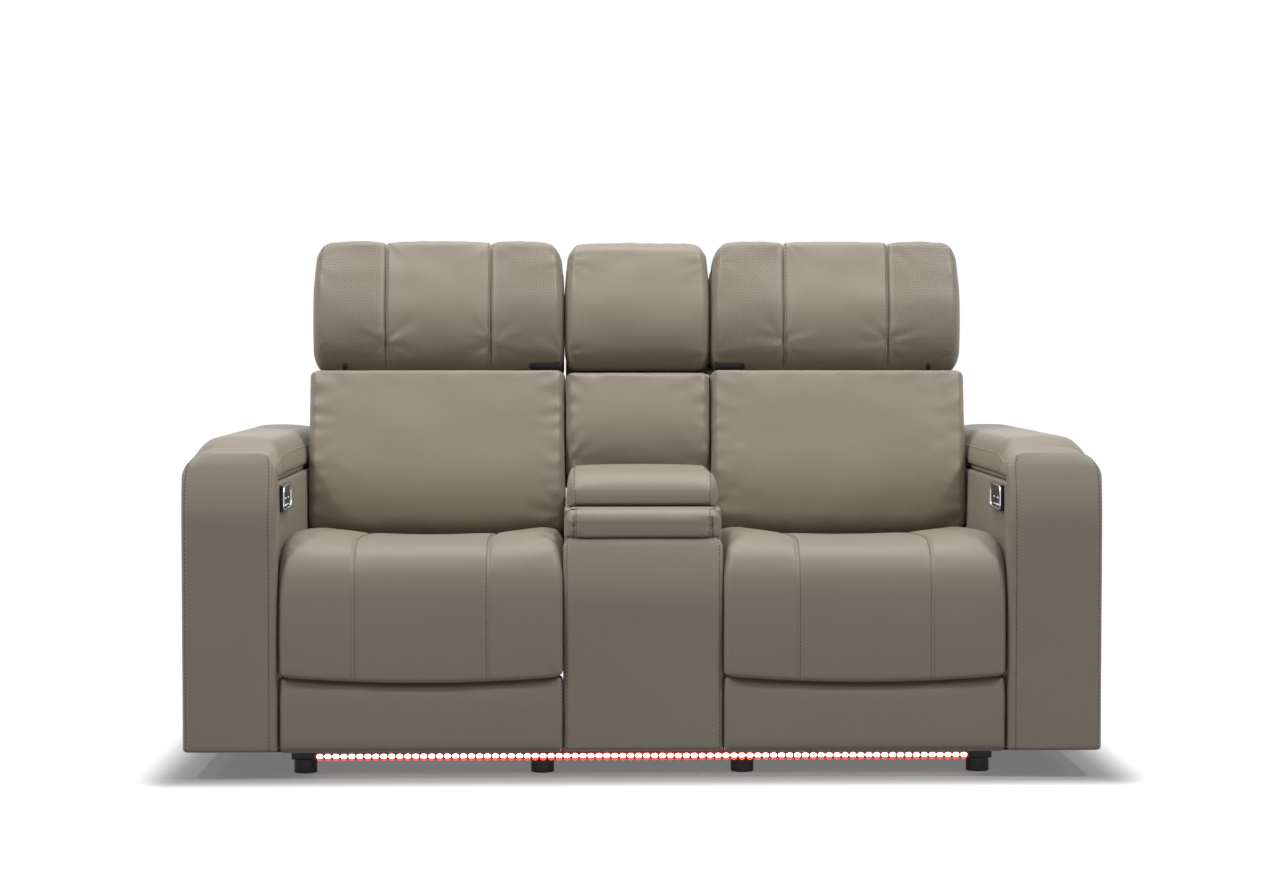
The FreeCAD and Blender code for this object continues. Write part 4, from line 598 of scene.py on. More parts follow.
def thread_run(points, normals, pitch=0.0082, length=0.0056, radius=0.0009, lift=0.0001):
    """A row of stitches along points: short rounded lengths of thread, half sunk in the leather."""
    lengths = path_lengths(points)
    at = np.arange(pitch / 2, lengths[-1], pitch)
    middle, normal = read_along(points, lengths, at), unit_rows(read_along(normals, lengths, at))
    ahead, behind = read_along(points, lengths, at + 0.001), read_along(points, lengths, at - 0.001)
    along = unit_rows(ahead - behind)
    across = np.cross(along, normal)
    # Each ring of one stitch: its share of the length, its size and its rise, both in radii.
    rings = ((-0.5, 0.35, -0.8), (-0.36, 0.95, 0.0), (0.0, 1.0, 0.25), (0.36, 0.95, 0.0), (0.5, 0.35, -0.8))
    sides = 6
    verts, faces = [], []
    for share, size, rise in rings:
        for k in range(sides):
            turn = 2 * math.pi * k / sides
            offset = across * math.cos(turn) * radius * size + normal * math.sin(turn) * radius * size
            verts.append(middle + along * share * length + offset + normal * (lift + rise * radius))
    per = sides * len(rings)
    for base in range(0, len(at) * per, per):
        faces += tube_faces(len(rings), sides, base)
        faces.append([base + k for k in range(sides)][::-1])
        faces.append([base + per - sides + k for k in range(sides)])
    return np.stack(verts, axis=1).reshape(-1, 3), faces


def welt(points, normals, radius, sink=0.3, sides=10):
    """A welt cord: a tube along points, partly sunk in the surface."""
    along = unit_rows(np.gradient(points, axis=0))
    across = unit_rows(np.cross(along, normals))
    up = np.cross(across, along)
    taper = np.ones(len(points))
    taper[0], taper[-1] = 0.3, 0.3
    verts = []
    for k in range(sides):
        turn = 2 * math.pi * k / sides
        ring = across * math.cos(turn) + up * math.sin(turn)
        verts.append(points + ring * (radius * taper)[:, None] - up * radius * sink)
    faces = [[a, d, c, b] for a, b, c, d in tube_faces(len(points), sides)]
    last = sides * (len(points) - 1)
    faces.append(list(range(sides)))
    faces.append(list(range(last, last + sides))[::-1])
    return np.stack(verts, axis=1).reshape(-1, 3), faces


def laid_runs(name, base, runs, step, make, material, body, blend=None):
    """Threads or welt cords along several runs on one piece's surface, as one object."""
    tree = surface_of(base)
    verts, faces = joined([make(*laid_on(tree, resampled(run, step))) for run in runs])
    obj = mesh_object(name, verts, faces, MATERIALS[material])
    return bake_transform(obj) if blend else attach(obj, body)


def sewn(name, base, runs, body, blend=None):
    """Rows of stitches on a piece."""
    return laid_runs(name, base, runs, THREAD_STEP, thread_run, "thread", body, blend)


def piped(name, base, runs, body, radius):
    """Welt cords on a piece."""
    return laid_runs(name, base, runs, WELT_STEP, lambda *at: welt(*at, radius), "piping", body)


# Seats

SEAT_X = (0.1660, 0.7515)
SEAT_MIDDLE = sum(SEAT_X) / 2
SEAT_HALF = (SEAT_X[1] - SEAT_X[0]) / 2
SEAT_SEAM = SEAT_HALF - 0.152
SEAT_DEPTH = 0.085
SEAT_OUTER = [(0.080, 0.458), (-0.02, 0.472), (-0.12, 0.478), (-0.25, 0.484), (-0.36, 0.488),
              (-0.405, 0.487), (-0.440, 0.479), (-0.466, 0.461), (-0.483, 0.434), (-0.492, 0.398),
              (-0.4965, 0.350), (-0.4985, 0.300), (-0.4985, 0.250), (-0.497, 0.198)]
SEAT_INNER = [(0.080, 0.377), (-0.02, 0.377), (-0.12, 0.377), (-0.25, 0.377), (-0.36, 0.378),
              (-0.405, 0.382), (-0.425, 0.388), (-0.440, 0.392), (-0.450, 0.390), (-0.4545, 0.372),
              (-0.4545, 0.340), (-0.4545, 0.300), (-0.4545, 0.250), (-0.4545, 0.200)]
CREASE_RISE = 0.013
SEAT_KNOTS = path_lengths(SEAT_OUTER)
SEAT_LENGTH = SEAT_KNOTS[-1]
ROLL_START = SEAT_KNOTS[5]


def on_seat_path(p, s, q):
    """A pad that follows the seat's side view, from its rear over the front roll to the crease."""
    outer = curve_through(SEAT_KNOTS, SEAT_OUTER, s)
    inner = curve_through(SEAT_KNOTS, SEAT_INNER, s)
    yz = inner + (outer - inner) * (q / SEAT_DEPTH)[:, None]
    return p, yz[:, 0], yz[:, 1]


def seat_relief(middle, seed):
    """Side panels stand proud of the middle one, the crown dips at the seams, the lower edge curves."""

    def relief(point, unit):
        p, s, q = point.T
        across = centred(p, middle, SEAT_HALF)
        top = 1 - smooth(s, ROLL_START - 0.05, ROLL_START + 0.13)
        side_hump = 0.020 * top * across**2 * (1 - smooth(across, 0.80, 1.08))
        crown = 0.006 * (1 - across**2) * (1 - top)
        swell = side_hump + crown
        for seam in (-SEAT_SEAM, SEAT_SEAM):
            offset = p - middle - seam
            swell += seam_groove(offset, 0.0034, 0.0028, 0.0034, 0.022)
            swell += gathers(offset, s, 0.0009, 0.035, 0.03, seed + seam)
        swell += gathers(1 - across, s, 0.0040, 0.030, 0.10, seed + 5) * (0.3 + 0.7 * top)
        pinched_corners(swell, p, s, middle, SEAT_HALF, seed, (ROLL_START + 0.03, 0.010, 0.05),
                        (SEAT_LENGTH, 0.006, 0.03))
        swell += 0.0012 * rumple(0.16, seed, p, s * 0.8)
        point[:, 1] -= CREASE_RISE * across**2 * smooth(s, SEAT_LENGTH - 0.16, SEAT_LENGTH)
        return swell

    return relief


def make_seat(side):
    """One cover over the seat and its front roll, down to the crease above the leg rest."""
    sign = SIDES[side]
    middle = sign * SEAT_MIDDLE
    span = mirrored(sign, SEAT_X)
    seams = [middle - SEAT_SEAM, middle + SEAT_SEAM]
    pad = Pad(span, (0.0, SEAT_LENGTH), SEAT_DEPTH, ((0.022, 0.022), (0.028, 0.012), (0.012, 0.040)),
              on_seat_path, cell=0.008, seams=seams, corners=(0.022, 0.022, 0.004, 0.004),
              relief=seat_relief(middle, 11.0 + sign))
    cover = mesh_object(f"seat_cover_{side}", *pad.mesh(), *LEATHER_SET)
    blend = (f"seat_{side}", f"footrest_{side}", (middle, -0.39, 0.50), (middle, -0.53, 0.28))
    along = np.linspace(0.03, SEAT_LENGTH - 0.006, 90)
    runs = [pad.shape(track(beside(seam, middle, 0.0055), along, SEAT_DEPTH)) for seam in seams]
    sewn(f"seat_stitches_{side}", cover, runs, None, blend=blend)
    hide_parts(f"seat_cushion_{side}", f"front_roll_{side}")
    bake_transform(cover)
    make_footrest_panel(side, middle, span)


def make_footrest_panel(side, middle, span):
    """The plain lower panel of the leg rest, under the crease."""
    low, high, depth = 0.053, 0.2005, 0.037

    def relief(point, unit):
        p, s, q = point.T
        across = centred(p, middle, SEAT_HALF)
        up = smooth(s, low + 0.02, high)
        point[:, 2] *= 1 - curled(high - s, 0.06, 0.010) / depth
        point[:, 2] *= 1 - curled(s - low, 0.03, 0.005) / depth
        point[:, 1] += CREASE_RISE * across**2 * up
        swell = 0.003 * (1 - across**2) + 0.0012 * rumple(0.11, 3.0, p, s)
        return swell + gathers(high - s, p, 0.0030, 0.025, 0.03, 7.0) * smooth(across, 0.6, 1.0)

    pad = Pad(span, (low, high), depth, ((0.010, 0.010), (0.014, 0.012), (0.006, 0.018)), upright(-0.4545),
              cell=0.008, corners=(0.010, 0.010, 0.003, 0.003), relief=relief)
    leather_piece(f"footrest_panel_{side}", pad, f"footrest_{side}", [f"footrest_pad_{side}"])


# Head cushions

HEAD_X = (0.1686, 0.746)
HEAD_MIDDLE = sum(HEAD_X) / 2
HEAD_HALF = (HEAD_X[1] - HEAD_X[0]) / 2
HEAD_SEAM = HEAD_HALF - 0.168
HEAD_U = (0.5415, 0.833)
HEAD_REAR = -0.009
HEAD_DEPTH = 0.110


def head_relief(middle, half, seams, seed, lobe=0.010, depth=HEAD_DEPTH):
    """Three lobes between the seams, a wavy crest, gathered lower seam ends and drawn-in sides."""

    def relief(point, unit):
        p, s, q = point.T
        across = centred(p, middle, half)
        up = (s - HEAD_U[0]) / (HEAD_U[1] - HEAD_U[0])
        belly_rise = np.sin(math.pi * np.clip(up, 0, 1))
        edges = [middle - half] + list(seams) + [middle + half]
        lobes = np.zeros_like(p)
        for low, high in zip(edges[:-1], edges[1:]):
            t = np.clip((p - low) / (high - low), 0, 1)
            lobes += np.where((p >= low) & (p < high), np.sin(math.pi * t) ** 0.7, 0)
        point[:, 2] *= 1 - curled(s - HEAD_U[0], 0.175, 0.066) / depth
        swell = lobes * lobe * (0.45 + 0.55 * belly_rise)
        for seam in seams:
            offset = p - seam
            low_end = np.exp(-((up - 0.16) / 0.16) ** 2) + 0.6 * np.exp(-((up - 1.0) / 0.12) ** 2)
            swell += seam_groove(offset, 0.0046, 0.0030, 0.005, 0.016)
            swell += gathers(offset, s, 0.0045, 0.020, 0.035, seed + seam) * low_end
            swell += fans(p, s, (seam, HEAD_U[0] + 0.055), 0.009, 0.045, seed + seam)
            swell += fans(p, s, (seam, HEAD_U[1]), 0.008, 0.035, seed + seam)
        pinched_corners(swell, p, s, middle, half, seed, (HEAD_U[0] + 0.03, 0.009, 0.05),
                        (HEAD_U[1] - 0.05, 0.007, 0.04))
        swell += 0.0026 * rumple(0.085, seed, p, s * 1.3)
        risen = q + swell * np.clip(unit[:, 2], 0, 1)
        waves = 0.0022 * rumple(0.032, seed + 3, p, risen * 0.4)
        dips = sum(seam_groove(p - k, 0.002, 0.003, 0.002, 0.01) for k in seams)
        point[:, 1] += np.clip(unit[:, 1], 0, 1) * (waves + 0.35 * lobes * lobe + dips)
        shoulder = smooth(up, 0.55, 1.0)
        narrow = 0.007 * shoulder * np.clip((across - 0.55) / 0.45, 0, 1) ** 2
        belly = 0.0008 * belly_rise * np.clip(across, 0, 1) ** 3
        point[:, 0] += np.sign(p - middle) * (belly - narrow)
        point[:, 1] -= 0.006 * shoulder * np.clip((across - 0.6) / 0.4, 0, 1) ** 2
        return swell

    return relief


def paint_perforated(obj, pad, seams):
    """The perforated leather on the outer panels of the cushion's face."""
    p, s, q = pad.box_points.T
    outside = (p < seams[0]) | (p > seams[1])
    clear = (np.abs(p - seams[0]) > 0.009) & (np.abs(p - seams[1]) > 0.009)
    wanted = outside & clear & (q > pad.high[2] - 1e-6) & (s > pad.low[1] + 0.012)
    for polygon in obj.data.polygons:
        if all(wanted[v] for v in polygon.vertices):
            polygon.material_index = 1


def make_head(side):
    """The head cushion, its stitches and welts, and the pad behind it."""
    sign = SIDES[side]
    middle = sign * HEAD_MIDDLE
    span = mirrored(sign, HEAD_X)
    seams = [middle - HEAD_SEAM, middle + HEAD_SEAM]
    pad = Pad(span, HEAD_U, HEAD_DEPTH, ((0.022, 0.022), (0.044, 0.016), (0.010, 0.050)), leaned(HEAD_REAR),
              cell=0.007, seams=seams, corners=(0.014, 0.014, 0.042, 0.042),
              relief=head_relief(middle, HEAD_HALF, seams, 31.0 + sign))
    head = f"head_{side}"
    cushion = leather_piece(f"head_cushion_cover_{side}", pad, head, [f"head_cushion_{side}"])
    paint_perforated(cushion, pad, seams)
    runs = [face_run(pad, beside(seam, middle, 0.0062), HEAD_U[0] + 0.004, HEAD_U[1]) for seam in seams]
    sewn(f"head_stitches_{side}", cushion, runs, head)
    piped(f"head_piping_{side}", cushion, gusset_runs(pad), head, radius=0.0014)
    make_head_rear(side, span)


def beside(seam, middle, gap):
    """Where a row of stitches runs: a gap away from its seam, towards the middle."""
    return seam + (gap if seam < middle else -gap)


def face_run(pad, p, low, high, over=0.03):
    """Points on a pad's face at one place across it, carried over its upper end."""
    face = track(p, np.linspace(low, high, 60), pad.high[2])
    top = track(p, pad.high[1], np.linspace(pad.high[2], pad.high[2] - over, 12))
    return pad.shape(np.concatenate([face, top[1:]]))


def gusset_runs(pad):
    """Lines down both side edges of a pad, where the face is sewn to the gusset."""
    along = np.linspace(pad.low[1] + 0.02, pad.high[1] - 0.012, 70)
    q = pad.high[2] - pad.rounds[2, 1] * 0.42
    return [pad.shape(track(p, along, q)) for p in (pad.low[0], pad.high[0])]


def tapering(front, depths, nominal):
    """A rear pad on the leaned back: its face looks backward, its depth follows (height, depth) pairs."""
    heights, reaches = zip(*depths)
    return lambda p, s, q: (p, *on_lean(s, front + q * np.interp(s, heights, reaches) / nominal))


def make_head_rear(side, span):
    """The padded rear of the head part, thickest at its lower edge."""
    depths = ((0.552, 0.196), (0.600, 0.188), (0.776, 0.146), (0.800, 0.128), (0.826, 0.100))
    pad = Pad((span[0] + 0.0015, span[1] - 0.0015), (0.5535, 0.826), 0.19,
              ((0.030, 0.030), (0.030, 0.034), (0.006, 0.050)),
              tapering(0.006, depths, 0.19), cell=0.012, corners=(0.02, 0.02, 0.056, 0.056),
              relief=back_relief(sum(span) / 2, HEAD_HALF, 0.55, 0.83, 57.0, crown=0.002))
    leather_piece(f"head_rear_{side}", pad, f"head_{side}", turned=True)


# Back cushions


def back_relief(middle, half, low, high, seed, crown=0.006, under=None):
    """A crowned face drawn in at its edges, with small puckers along the sides and bottom."""

    def relief(point, unit):
        p, s, q = point.T
        across = centred(p, middle, half)
        up = np.clip((s - low) / (high - low), 0, 1)
        if under:
            reach, fall, depth = under
            point[:, 2] *= 1 - curled(s - low, reach, fall) / depth
        swell = crown * (1 - across**2.4) * np.sin(math.pi * np.clip(up * 0.9 + 0.05, 0, 1)) ** 0.5
        swell += gathers(1 - across, s, 0.0076, 0.024, 0.13, seed)
        swell += gathers(up * 3, p, 0.0060, 0.036, 0.25, seed + 4)
        swell += gathers((1 - up) * 3, p, 0.0040, 0.034, 0.22, seed + 6)
        pinched_corners(swell, p, s, middle, half, seed, (low + 0.04, 0.009, 0.06), (high, 0.007, 0.04))
        swell += 0.0026 * rumple(0.13, seed + 9, p, s * 1.2)
        drawn_in = 0.0002 * np.sin(math.pi * up) * np.clip(across, 0, 1) ** 4
        point[:, 0] -= np.sign(p - middle) * drawn_in
        return swell

    return relief


SHELL_FULLNESS = 0.0046
BACK_INNER_GAP, BACK_OUTER_GAP = 0.0003, 0.0014


def make_back(side):
    """The back cushion with its welts, and the shell behind it."""
    sign = SIDES[side]
    middle = sign * SEAT_MIDDLE
    low, high, depth = 0.155, 0.532, 0.104
    pad = Pad(mirrored(sign, (SEAT_X[0] + BACK_INNER_GAP, SEAT_X[1] - BACK_OUTER_GAP)), (low, high), depth,
              ((0.020, 0.020), (0.045, 0.012), (0.010, 0.044)), leaned(-0.005), cell=0.008,
              corners=(0.02, 0.02, 0.014, 0.014),
              relief=back_relief(middle, SEAT_HALF, low, high, 51.0 + sign, under=(0.19, 0.052, depth)))
    back = f"back_{side}"
    cushion = leather_piece(f"back_cushion_cover_{side}", pad, back, [f"back_cushion_{side}"])
    piped(f"back_piping_{side}", cushion, gusset_runs(pad), back, radius=0.0014)
    shell = soft_copy(f"back_shell_cover_{side}", f"back_shell_{side}", 0.006)
    for vertex in shell.data.vertices:
        inward = float(smooth(-abs(vertex.co.x), -SEAT_MIDDLE, -SEAT_X[0]))
        vertex.co.x -= sign * SHELL_FULLNESS * inward
    finish_piece(shell, back, [f"back_shell_{side}"])


# Pieces made from a node's own form


def applied(obj):
    """Applies every modifier on obj into its mesh."""
    graph = bpy.context.evaluated_depsgraph_get()
    mesh = bpy.data.meshes.new_from_object(obj.evaluated_get(graph))
    obj.modifiers.clear()
    old, obj.data = obj.data, mesh
    bpy.data.meshes.remove(old)
    mesh.polygons.foreach_set("use_smooth", [True] * len(mesh.polygons))
    return obj


def soft_copy(name, node, voxel):
    """A leather copy of a node's form with rounded edges."""
    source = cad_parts[node].data
    obj = bpy.data.objects.new(name, source.copy())
    bpy.context.scene.collection.objects.link(obj)
    remesh = obj.modifiers.new("remesh", "REMESH")
    remesh.mode, remesh.voxel_size, remesh.use_smooth_shade = "VOXEL", voxel, True
    relax = obj.modifiers.new("relax", "SMOOTH")
    relax.iterations, relax.factor = 6, 0.5
    applied(obj)
    obj.data.materials.clear()
    obj.data.materials.append(MATERIALS["leather"])
    return obj


# Arms

ARM_X = (0.753, 0.950)
ARM_FRONT_Z = (0.056, 0.674)
ARM_OUTER_R, ARM_INNER_R = 0.055, 0.040
ARM_STITCH = (0.017, 0.009)
ARM_FRONT_DEPTH = 0.0385
PANEL_FOOT, PANEL_DEPTH = 0.058, 0.0148


def front_relief(top, depth, fall, crown, seams, groove, pucker_seed, broad):
    """A front panel that curls back towards its top, with a puckered seam along each side."""

    def relief(point, unit):
        p, s, q = point.T
        point[:, 2] *= 1 - curled(top - s, 0.14, fall, 1.7) / depth
        swell = crown(p)
        for seam in seams:
            swell += seam_groove(p - seam, *groove)
            swell += gathers(p - seam, s, 0.0008, 0.014, 0.008, pucker_seed + seam)
        return swell + 0.0012 * rumple(*broad, p, s)

    return relief


def make_arm(side):
    """The arm's front panel: one band that curves back over the top between two rows of stitches."""
    sign = SIDES[side]
    wide = ARM_X[1] - ARM_X[0]
    top_corners = (ARM_INNER_R, ARM_OUTER_R) if sign > 0 else (ARM_OUTER_R, ARM_INNER_R)
    seams = [sign * (ARM_X[0] + ARM_STITCH[0]), sign * (ARM_X[1] - ARM_STITCH[1])]

    def crown(p):
        return 0.0025 * np.sin(math.pi * np.clip((np.abs(p) - ARM_X[0]) / wide, 0, 1))

    pad = Pad(mirrored(sign, ARM_X), ARM_FRONT_Z, ARM_FRONT_DEPTH,
              ((0.012, 0.012), (0.008, 0.030), (0.003, 0.022)), upright(-0.460),
              cell=0.008, seams=seams, corners=(0.004, 0.004, *top_corners),
              relief=front_relief(ARM_FRONT_Z[1], ARM_FRONT_DEPTH, 0.033, crown, seams,
                                  (0.0016, 0.0024, 0.0010, 0.006), 73.0, (0.12, 71.0 + sign)))
    front = leather_piece(f"arm_front_panel_{side}", pad, "base", [f"arm_front_{side}"])
    runs = [face_run(pad, seam, ARM_FRONT_Z[0] + 0.004, ARM_FRONT_Z[1], over=0.034) for seam in seams]
    sewn(f"arm_front_stitches_{side}", front, runs, "base")
    make_arm_panels(side, sign)
    make_arm_lid(side, sign)


def sideways(x_back, sign):
    """A thin pad whose face looks sideways: p runs front to rear, s is height."""
    return lambda p, s, q: (x_back + sign * q, p, s)


def backward(y_back):
    """A thin pad whose face looks to the rear."""
    return lambda p, s, q: (p, y_back + q, s)


def panel_relief(low, high, bottom, top, seed, crown=0.002):
    """A nearly flat panel: a slight crown and slow waves."""

    def relief(point, unit):
        p, s, q = point.T
        t, u = np.clip((p - low) / (high - low), 0, 1), np.clip((s - bottom) / (top - bottom), 0, 1)
        swell = crown * (4 * t * (1 - t)) ** 0.5 * (4 * u * (1 - u)) ** 0.5
        return swell + 0.0014 * rumple(0.14, seed, p, s)

    return relief


def thin_panel(p, s, place, seed, rounding=0.006):
    """The mesh of a thin padded panel."""
    rounds = ((rounding, rounding), (rounding, rounding), (0.003, rounding))
    return Pad(p, s, PANEL_DEPTH, rounds, place, cell=0.014, relief=panel_relief(*p, *s, seed)).mesh()


def make_arm_panels(side, sign):
    """Leather over the arm's inner, outer and rear faces."""
    tall, long, thick = (PANEL_FOOT, 0.612), (-0.460, 0.480), (0.768, 0.935)
    panels = [
        thin_panel(long, tall, sideways(sign * thick[0], -sign), 81.0 + sign),
        thin_panel(long, tall, sideways(sign * thick[1], sign), 83.0 + sign),
        thin_panel(mirrored(sign, thick), tall, backward(0.465), 85.0 + sign),
    ]
    outward_piece(f"arm_cover_leather_{side}", panels, LEATHER_SET, "base",
                  [f"arm_cover_{side}"])


def make_arm_lid(side, sign):
    """The padded storage lid: a crowned top on boxed sides, its front end lower."""
    wide = (0.7545, 0.949)
    middle, half = sign * sum(wide) / 2, (wide[1] - wide[0]) / 2
    front, rear, step, depth = -0.4592, 0.480, -0.362, 0.0715

    def relief(point, unit):
        p, s, q = point.T
        across = centred(p, middle, half)
        behind = smooth(s, step - 0.045, step + 0.055)
        point[:, 2] *= 1 - 0.024 * (1 - behind) / depth
        swell = 0.009 * (1 - across**2) * behind - 0.003 * np.exp(-((s - step) / 0.006) ** 2)
        swell += gathers(1 - across, s, 0.0026, 0.045, 0.35, 91.0 + sign)
        seam = np.exp(-((s - step) / 0.003) ** 2) * np.clip(np.abs(unit[:, 0]), 0, 1)
        point[:, 0] -= np.sign(p - middle) * 0.0024 * seam
        return swell

    rounds = (0.036, 0.056) if sign > 0 else (0.056, 0.036)
    pad = Pad(mirrored(sign, wide), (front, rear), depth, (rounds, (0.004, 0.018), (0.005, 0.058)),
              lying(0.6225), cell=0.009, rows=[step], relief=relief)
    body = f"arm_lid_{side}"
    lid = leather_piece(f"arm_lid_pad_{side}", pad, body, [f"arm_lid_{side}"])
    make_lid_board(f"arm_lid_board_{side}", mirrored(sign, (0.762, 0.941)), (-0.453, 0.474), 0.6135, body)
    along = np.linspace(front + 0.01, rear - 0.01, 120)
    runs = [pad.shape(track(p, along, 0.046)) for p in (pad.low[0], pad.high[0])]
    piped(f"arm_lid_piping_{side}", lid, runs, body, radius=0.0015)


def make_lid_board(name, p, s, z, body):
    """The leather-faced board under a lid's pad."""
    pad = Pad(p, s, 0.0098, ((0.003, 0.003), (0.003, 0.003), (0.002, 0.002)), lying(z), cell=0.02)
    finish_piece(mesh_object(name, *pad.mesh(), MATERIALS["leather"]), body)


# Console

CONSOLE_HALF = 0.163
CONSOLE_BACK_X = (-0.1658, 0.1658)
CONSOLE_HEAD_HALF = 0.1672
STITCH_GAP = 0.0045


def make_console():
    """Every soft piece of the console."""
    make_console_front()
    make_console_band()
    make_console_lid()
    make_console_back()


def make_console_front():
    """The console's front panel, with a row of stitches along each side."""
    half, low, high, radius, depth = 0.1659, 0.056, 0.498, 0.020, 0.0475
    seams = [0.0085 - half, half - 0.0085]

    def crown(p):
        return 0.003 * (1 - centred(p, 0.0, half) ** 2)

    pad = Pad((-half, half), (low, high), depth, ((0.012, 0.012), (0.010, 0.022), (0.006, 0.018)),
              upright(-0.440), cell=0.009, seams=seams, corners=(0.004, 0.004, radius, radius),
              relief=front_relief(high, depth, 0.032, crown, seams, (0.0014, 0.0022, 0.0008, 0.006),
                                  17.0, (0.13, 15.0)))
    panel = leather_piece("console_front_panel", pad, "base", ["console_front"])
    runs = [face_run(pad, seam, low + 0.005, high, over=0.02) for seam in seams]
    sewn("console_front_stitches", panel, runs, "base")


def make_console_band():
    """The puffed body of the console: band above the front panel, sides and rear."""
    low, high, seam = 0.497, 0.556, 0.143

    def relief(point, unit):
        p, s, q = point.T
        swell = np.zeros_like(p)
        for at in (-seam, seam):
            swell += seam_groove(p - at, 0.0028, 0.0024, 0.0045, 0.008)
            swell += gathers(p - at, s, 0.0060, 0.011, 0.016, 23.0 + at)
        return swell

    band = Pad((-CONSOLE_HALF - 0.001, CONSOLE_HALF + 0.001), (low - 0.004, high + 0.003), 0.048,
               ((0.022, 0.022), (0.010, 0.030), (0.004, 0.036)), upright(-0.412), cell=0.007,
               seams=[-seam, seam], relief=relief)
    cover = leather_piece("console_band", band, "base")
    long, tall = (-0.440, 0.455), (PANEL_FOOT, 0.556)
    panels = [
        thin_panel(long, tall, sideways(0.1480, 1), 33.0),
        thin_panel(long, tall, sideways(-0.1480, -1), 35.0),
        thin_panel((-0.150, 0.150), tall, backward(0.440), 37.0),
    ]
    outward_piece("console_cover_leather", panels, LEATHER_SET, "base", ["console_cover"])
    runs = [face_run(band, beside(at, 0, STITCH_GAP), low, high, over=0.02) for at in (-seam, seam)]
    sewn("console_band_stitches", cover, runs, "base")


def make_console_lid():
    """The console's padded lid, with a drooping nose and a row of stitches along each side."""
    half, front, rear, seam, low, depth = 0.160, -0.412, -0.034, 0.147, 0.5605, 0.066

    def relief(point, unit):
        p, s, q = point.T
        across = centred(p, 0.0, half)
        swell = 0.004 * (1 - across**2)
        for at in (-seam, seam):
            swell += seam_groove(p - at, 0.0016, 0.0022, 0.0016, 0.008)
        nose = np.exp(-((s - front) / 0.05) ** 2)
        swell += gathers(1 - across, s, 0.003, 0.03, 0.2, 43.0) * nose
        pinched_corners(swell, p, s, 0.0, half, 44.0, (front, 0.010, 0.03))
        point[:, 2] -= 0.012 * nose * np.clip(1 - q / 0.03, 0, 1)
        return swell

    pad = Pad((-half, half), (front, rear), depth, ((0.018, 0.018), (0.062, 0.012), (0.014, 0.048)),
              lying(low), cell=0.008, seams=[-seam, seam], corners=(0.024, 0.024, 0.008, 0.008),
              relief=relief)
    lid = leather_piece("console_lid_pad", pad, "console_lid", ["console_lid"])
    make_lid_board("console_lid_board", (-0.148, 0.148), (-0.384, -0.048), 0.5590, "console_lid")
    runs = []
    for at in (-seam, seam):
        p = beside(at, 0, STITCH_GAP)
        nose = track(p, front, np.linspace(0.006, pad.high[2], 14))
        top = track(p, np.linspace(front, rear - 0.02, 60), pad.high[2])
        runs.append(pad.shape(np.concatenate([nose, top[1:]])))
    sewn("console_lid_stitches", lid, runs, "console_lid")


def make_console_back():
    """The console's fixed back: a cushion, a head cushion and the shell behind both."""
    low, high, depth = 0.272, 0.526, 0.106
    back = Pad(CONSOLE_BACK_X, (low, high), depth, ((0.022, 0.022), (0.03, 0.014), (0.010, 0.042)),
               leaned(-0.004), cell=0.008,
               relief=back_relief(0.0, 0.165, low, high, 61.0, crown=0.006, under=(0.17, 0.046, depth)))
    cushion = leather_piece("console_back_cover", back, "base", ["console_back_cushion"])
    piped("console_back_piping", cushion, gusset_runs(back), "base", radius=0.0013)
    half, depth = CONSOLE_HEAD_HALF, 0.111
    head = Pad((-half, half), (0.545, 0.832), depth, ((0.024, 0.024), (0.044, 0.030), (0.010, 0.054)),
               leaned(-0.008), cell=0.007, corners=(0.012, 0.012, 0.034, 0.034),
               relief=head_relief(0.0, half, [], 65.0, lobe=0.008, depth=depth))
    cushion = leather_piece("console_head_cover", head, "base", ["console_head_cushion"])
    piped("console_head_piping", cushion, gusset_runs(head), "base", radius=0.0011)
    make_console_shell()


def make_console_shell():
    """The padded rear of the console's back, deep at the bottom and rounded at the top."""
    low, high, nominal = 0.558, 1.104, 0.24
    foot, front_foot, front_slope = 0.557, 0.184, 0.2304
    rears = ((foot, 0.466), (1.000, 0.440), (1.050, 0.418), (1.085, 0.385), (1.105, 0.345))
    heights, reaches = zip(*rears)

    def place(p, s, q):
        front = front_foot + (s - foot) * front_slope
        return p, front + (np.interp(s, heights, reaches) - front) * q / nominal, s

    pad = Pad(CONSOLE_BACK_X, (low, high), nominal, ((0.028, 0.028), (0.008, 0.034), (0.006, 0.055)),
              place, cell=0.014, corners=(0.004, 0.004, 0.045, 0.045),
              relief=back_relief(0.0, CONSOLE_HEAD_HALF, low, high, 67.0, crown=0.002))
    leather_piece("console_back_shell_cover", pad, "base", ["console_back_shell"], turned=True)


# Switch panels


def rounded_ring(centre, half, inset, radius, steps=8):
    """Points round a rectangle with rounded corners, as y and z, inset from its half sizes."""
    points = []
    for corner, signs in enumerate(((1, 1), (-1, 1), (-1, -1), (1, -1))):
        for k in range(steps + 1):
            turn = math.radians(90 * corner + 90 * k / steps)
            points.append([centre[n] + signs[n] * (half[n] - inset - radius) + radius * wave
                           for n, wave in enumerate((math.cos(turn), math.sin(turn)))])
    return points


def ring_frame(x, sign, outer, inner, rise):
    """A raised frame between two rings on the arm's inner face, with a rounded section."""
    section = ((0.0, -2.0), (0.0, 0.75), (0.28, 1.0), (0.72, 1.0), (1.0, 0.55), (1.0, 0.0))
    verts = []
    for share, up in section:
        for (oy, oz), (iy, iz) in zip(outer, inner):
            verts.append((x - sign * rise * up, oy + (iy - oy) * share, oz + (iz - oz) * share))
    return verts, tube_faces(len(section), len(outer))


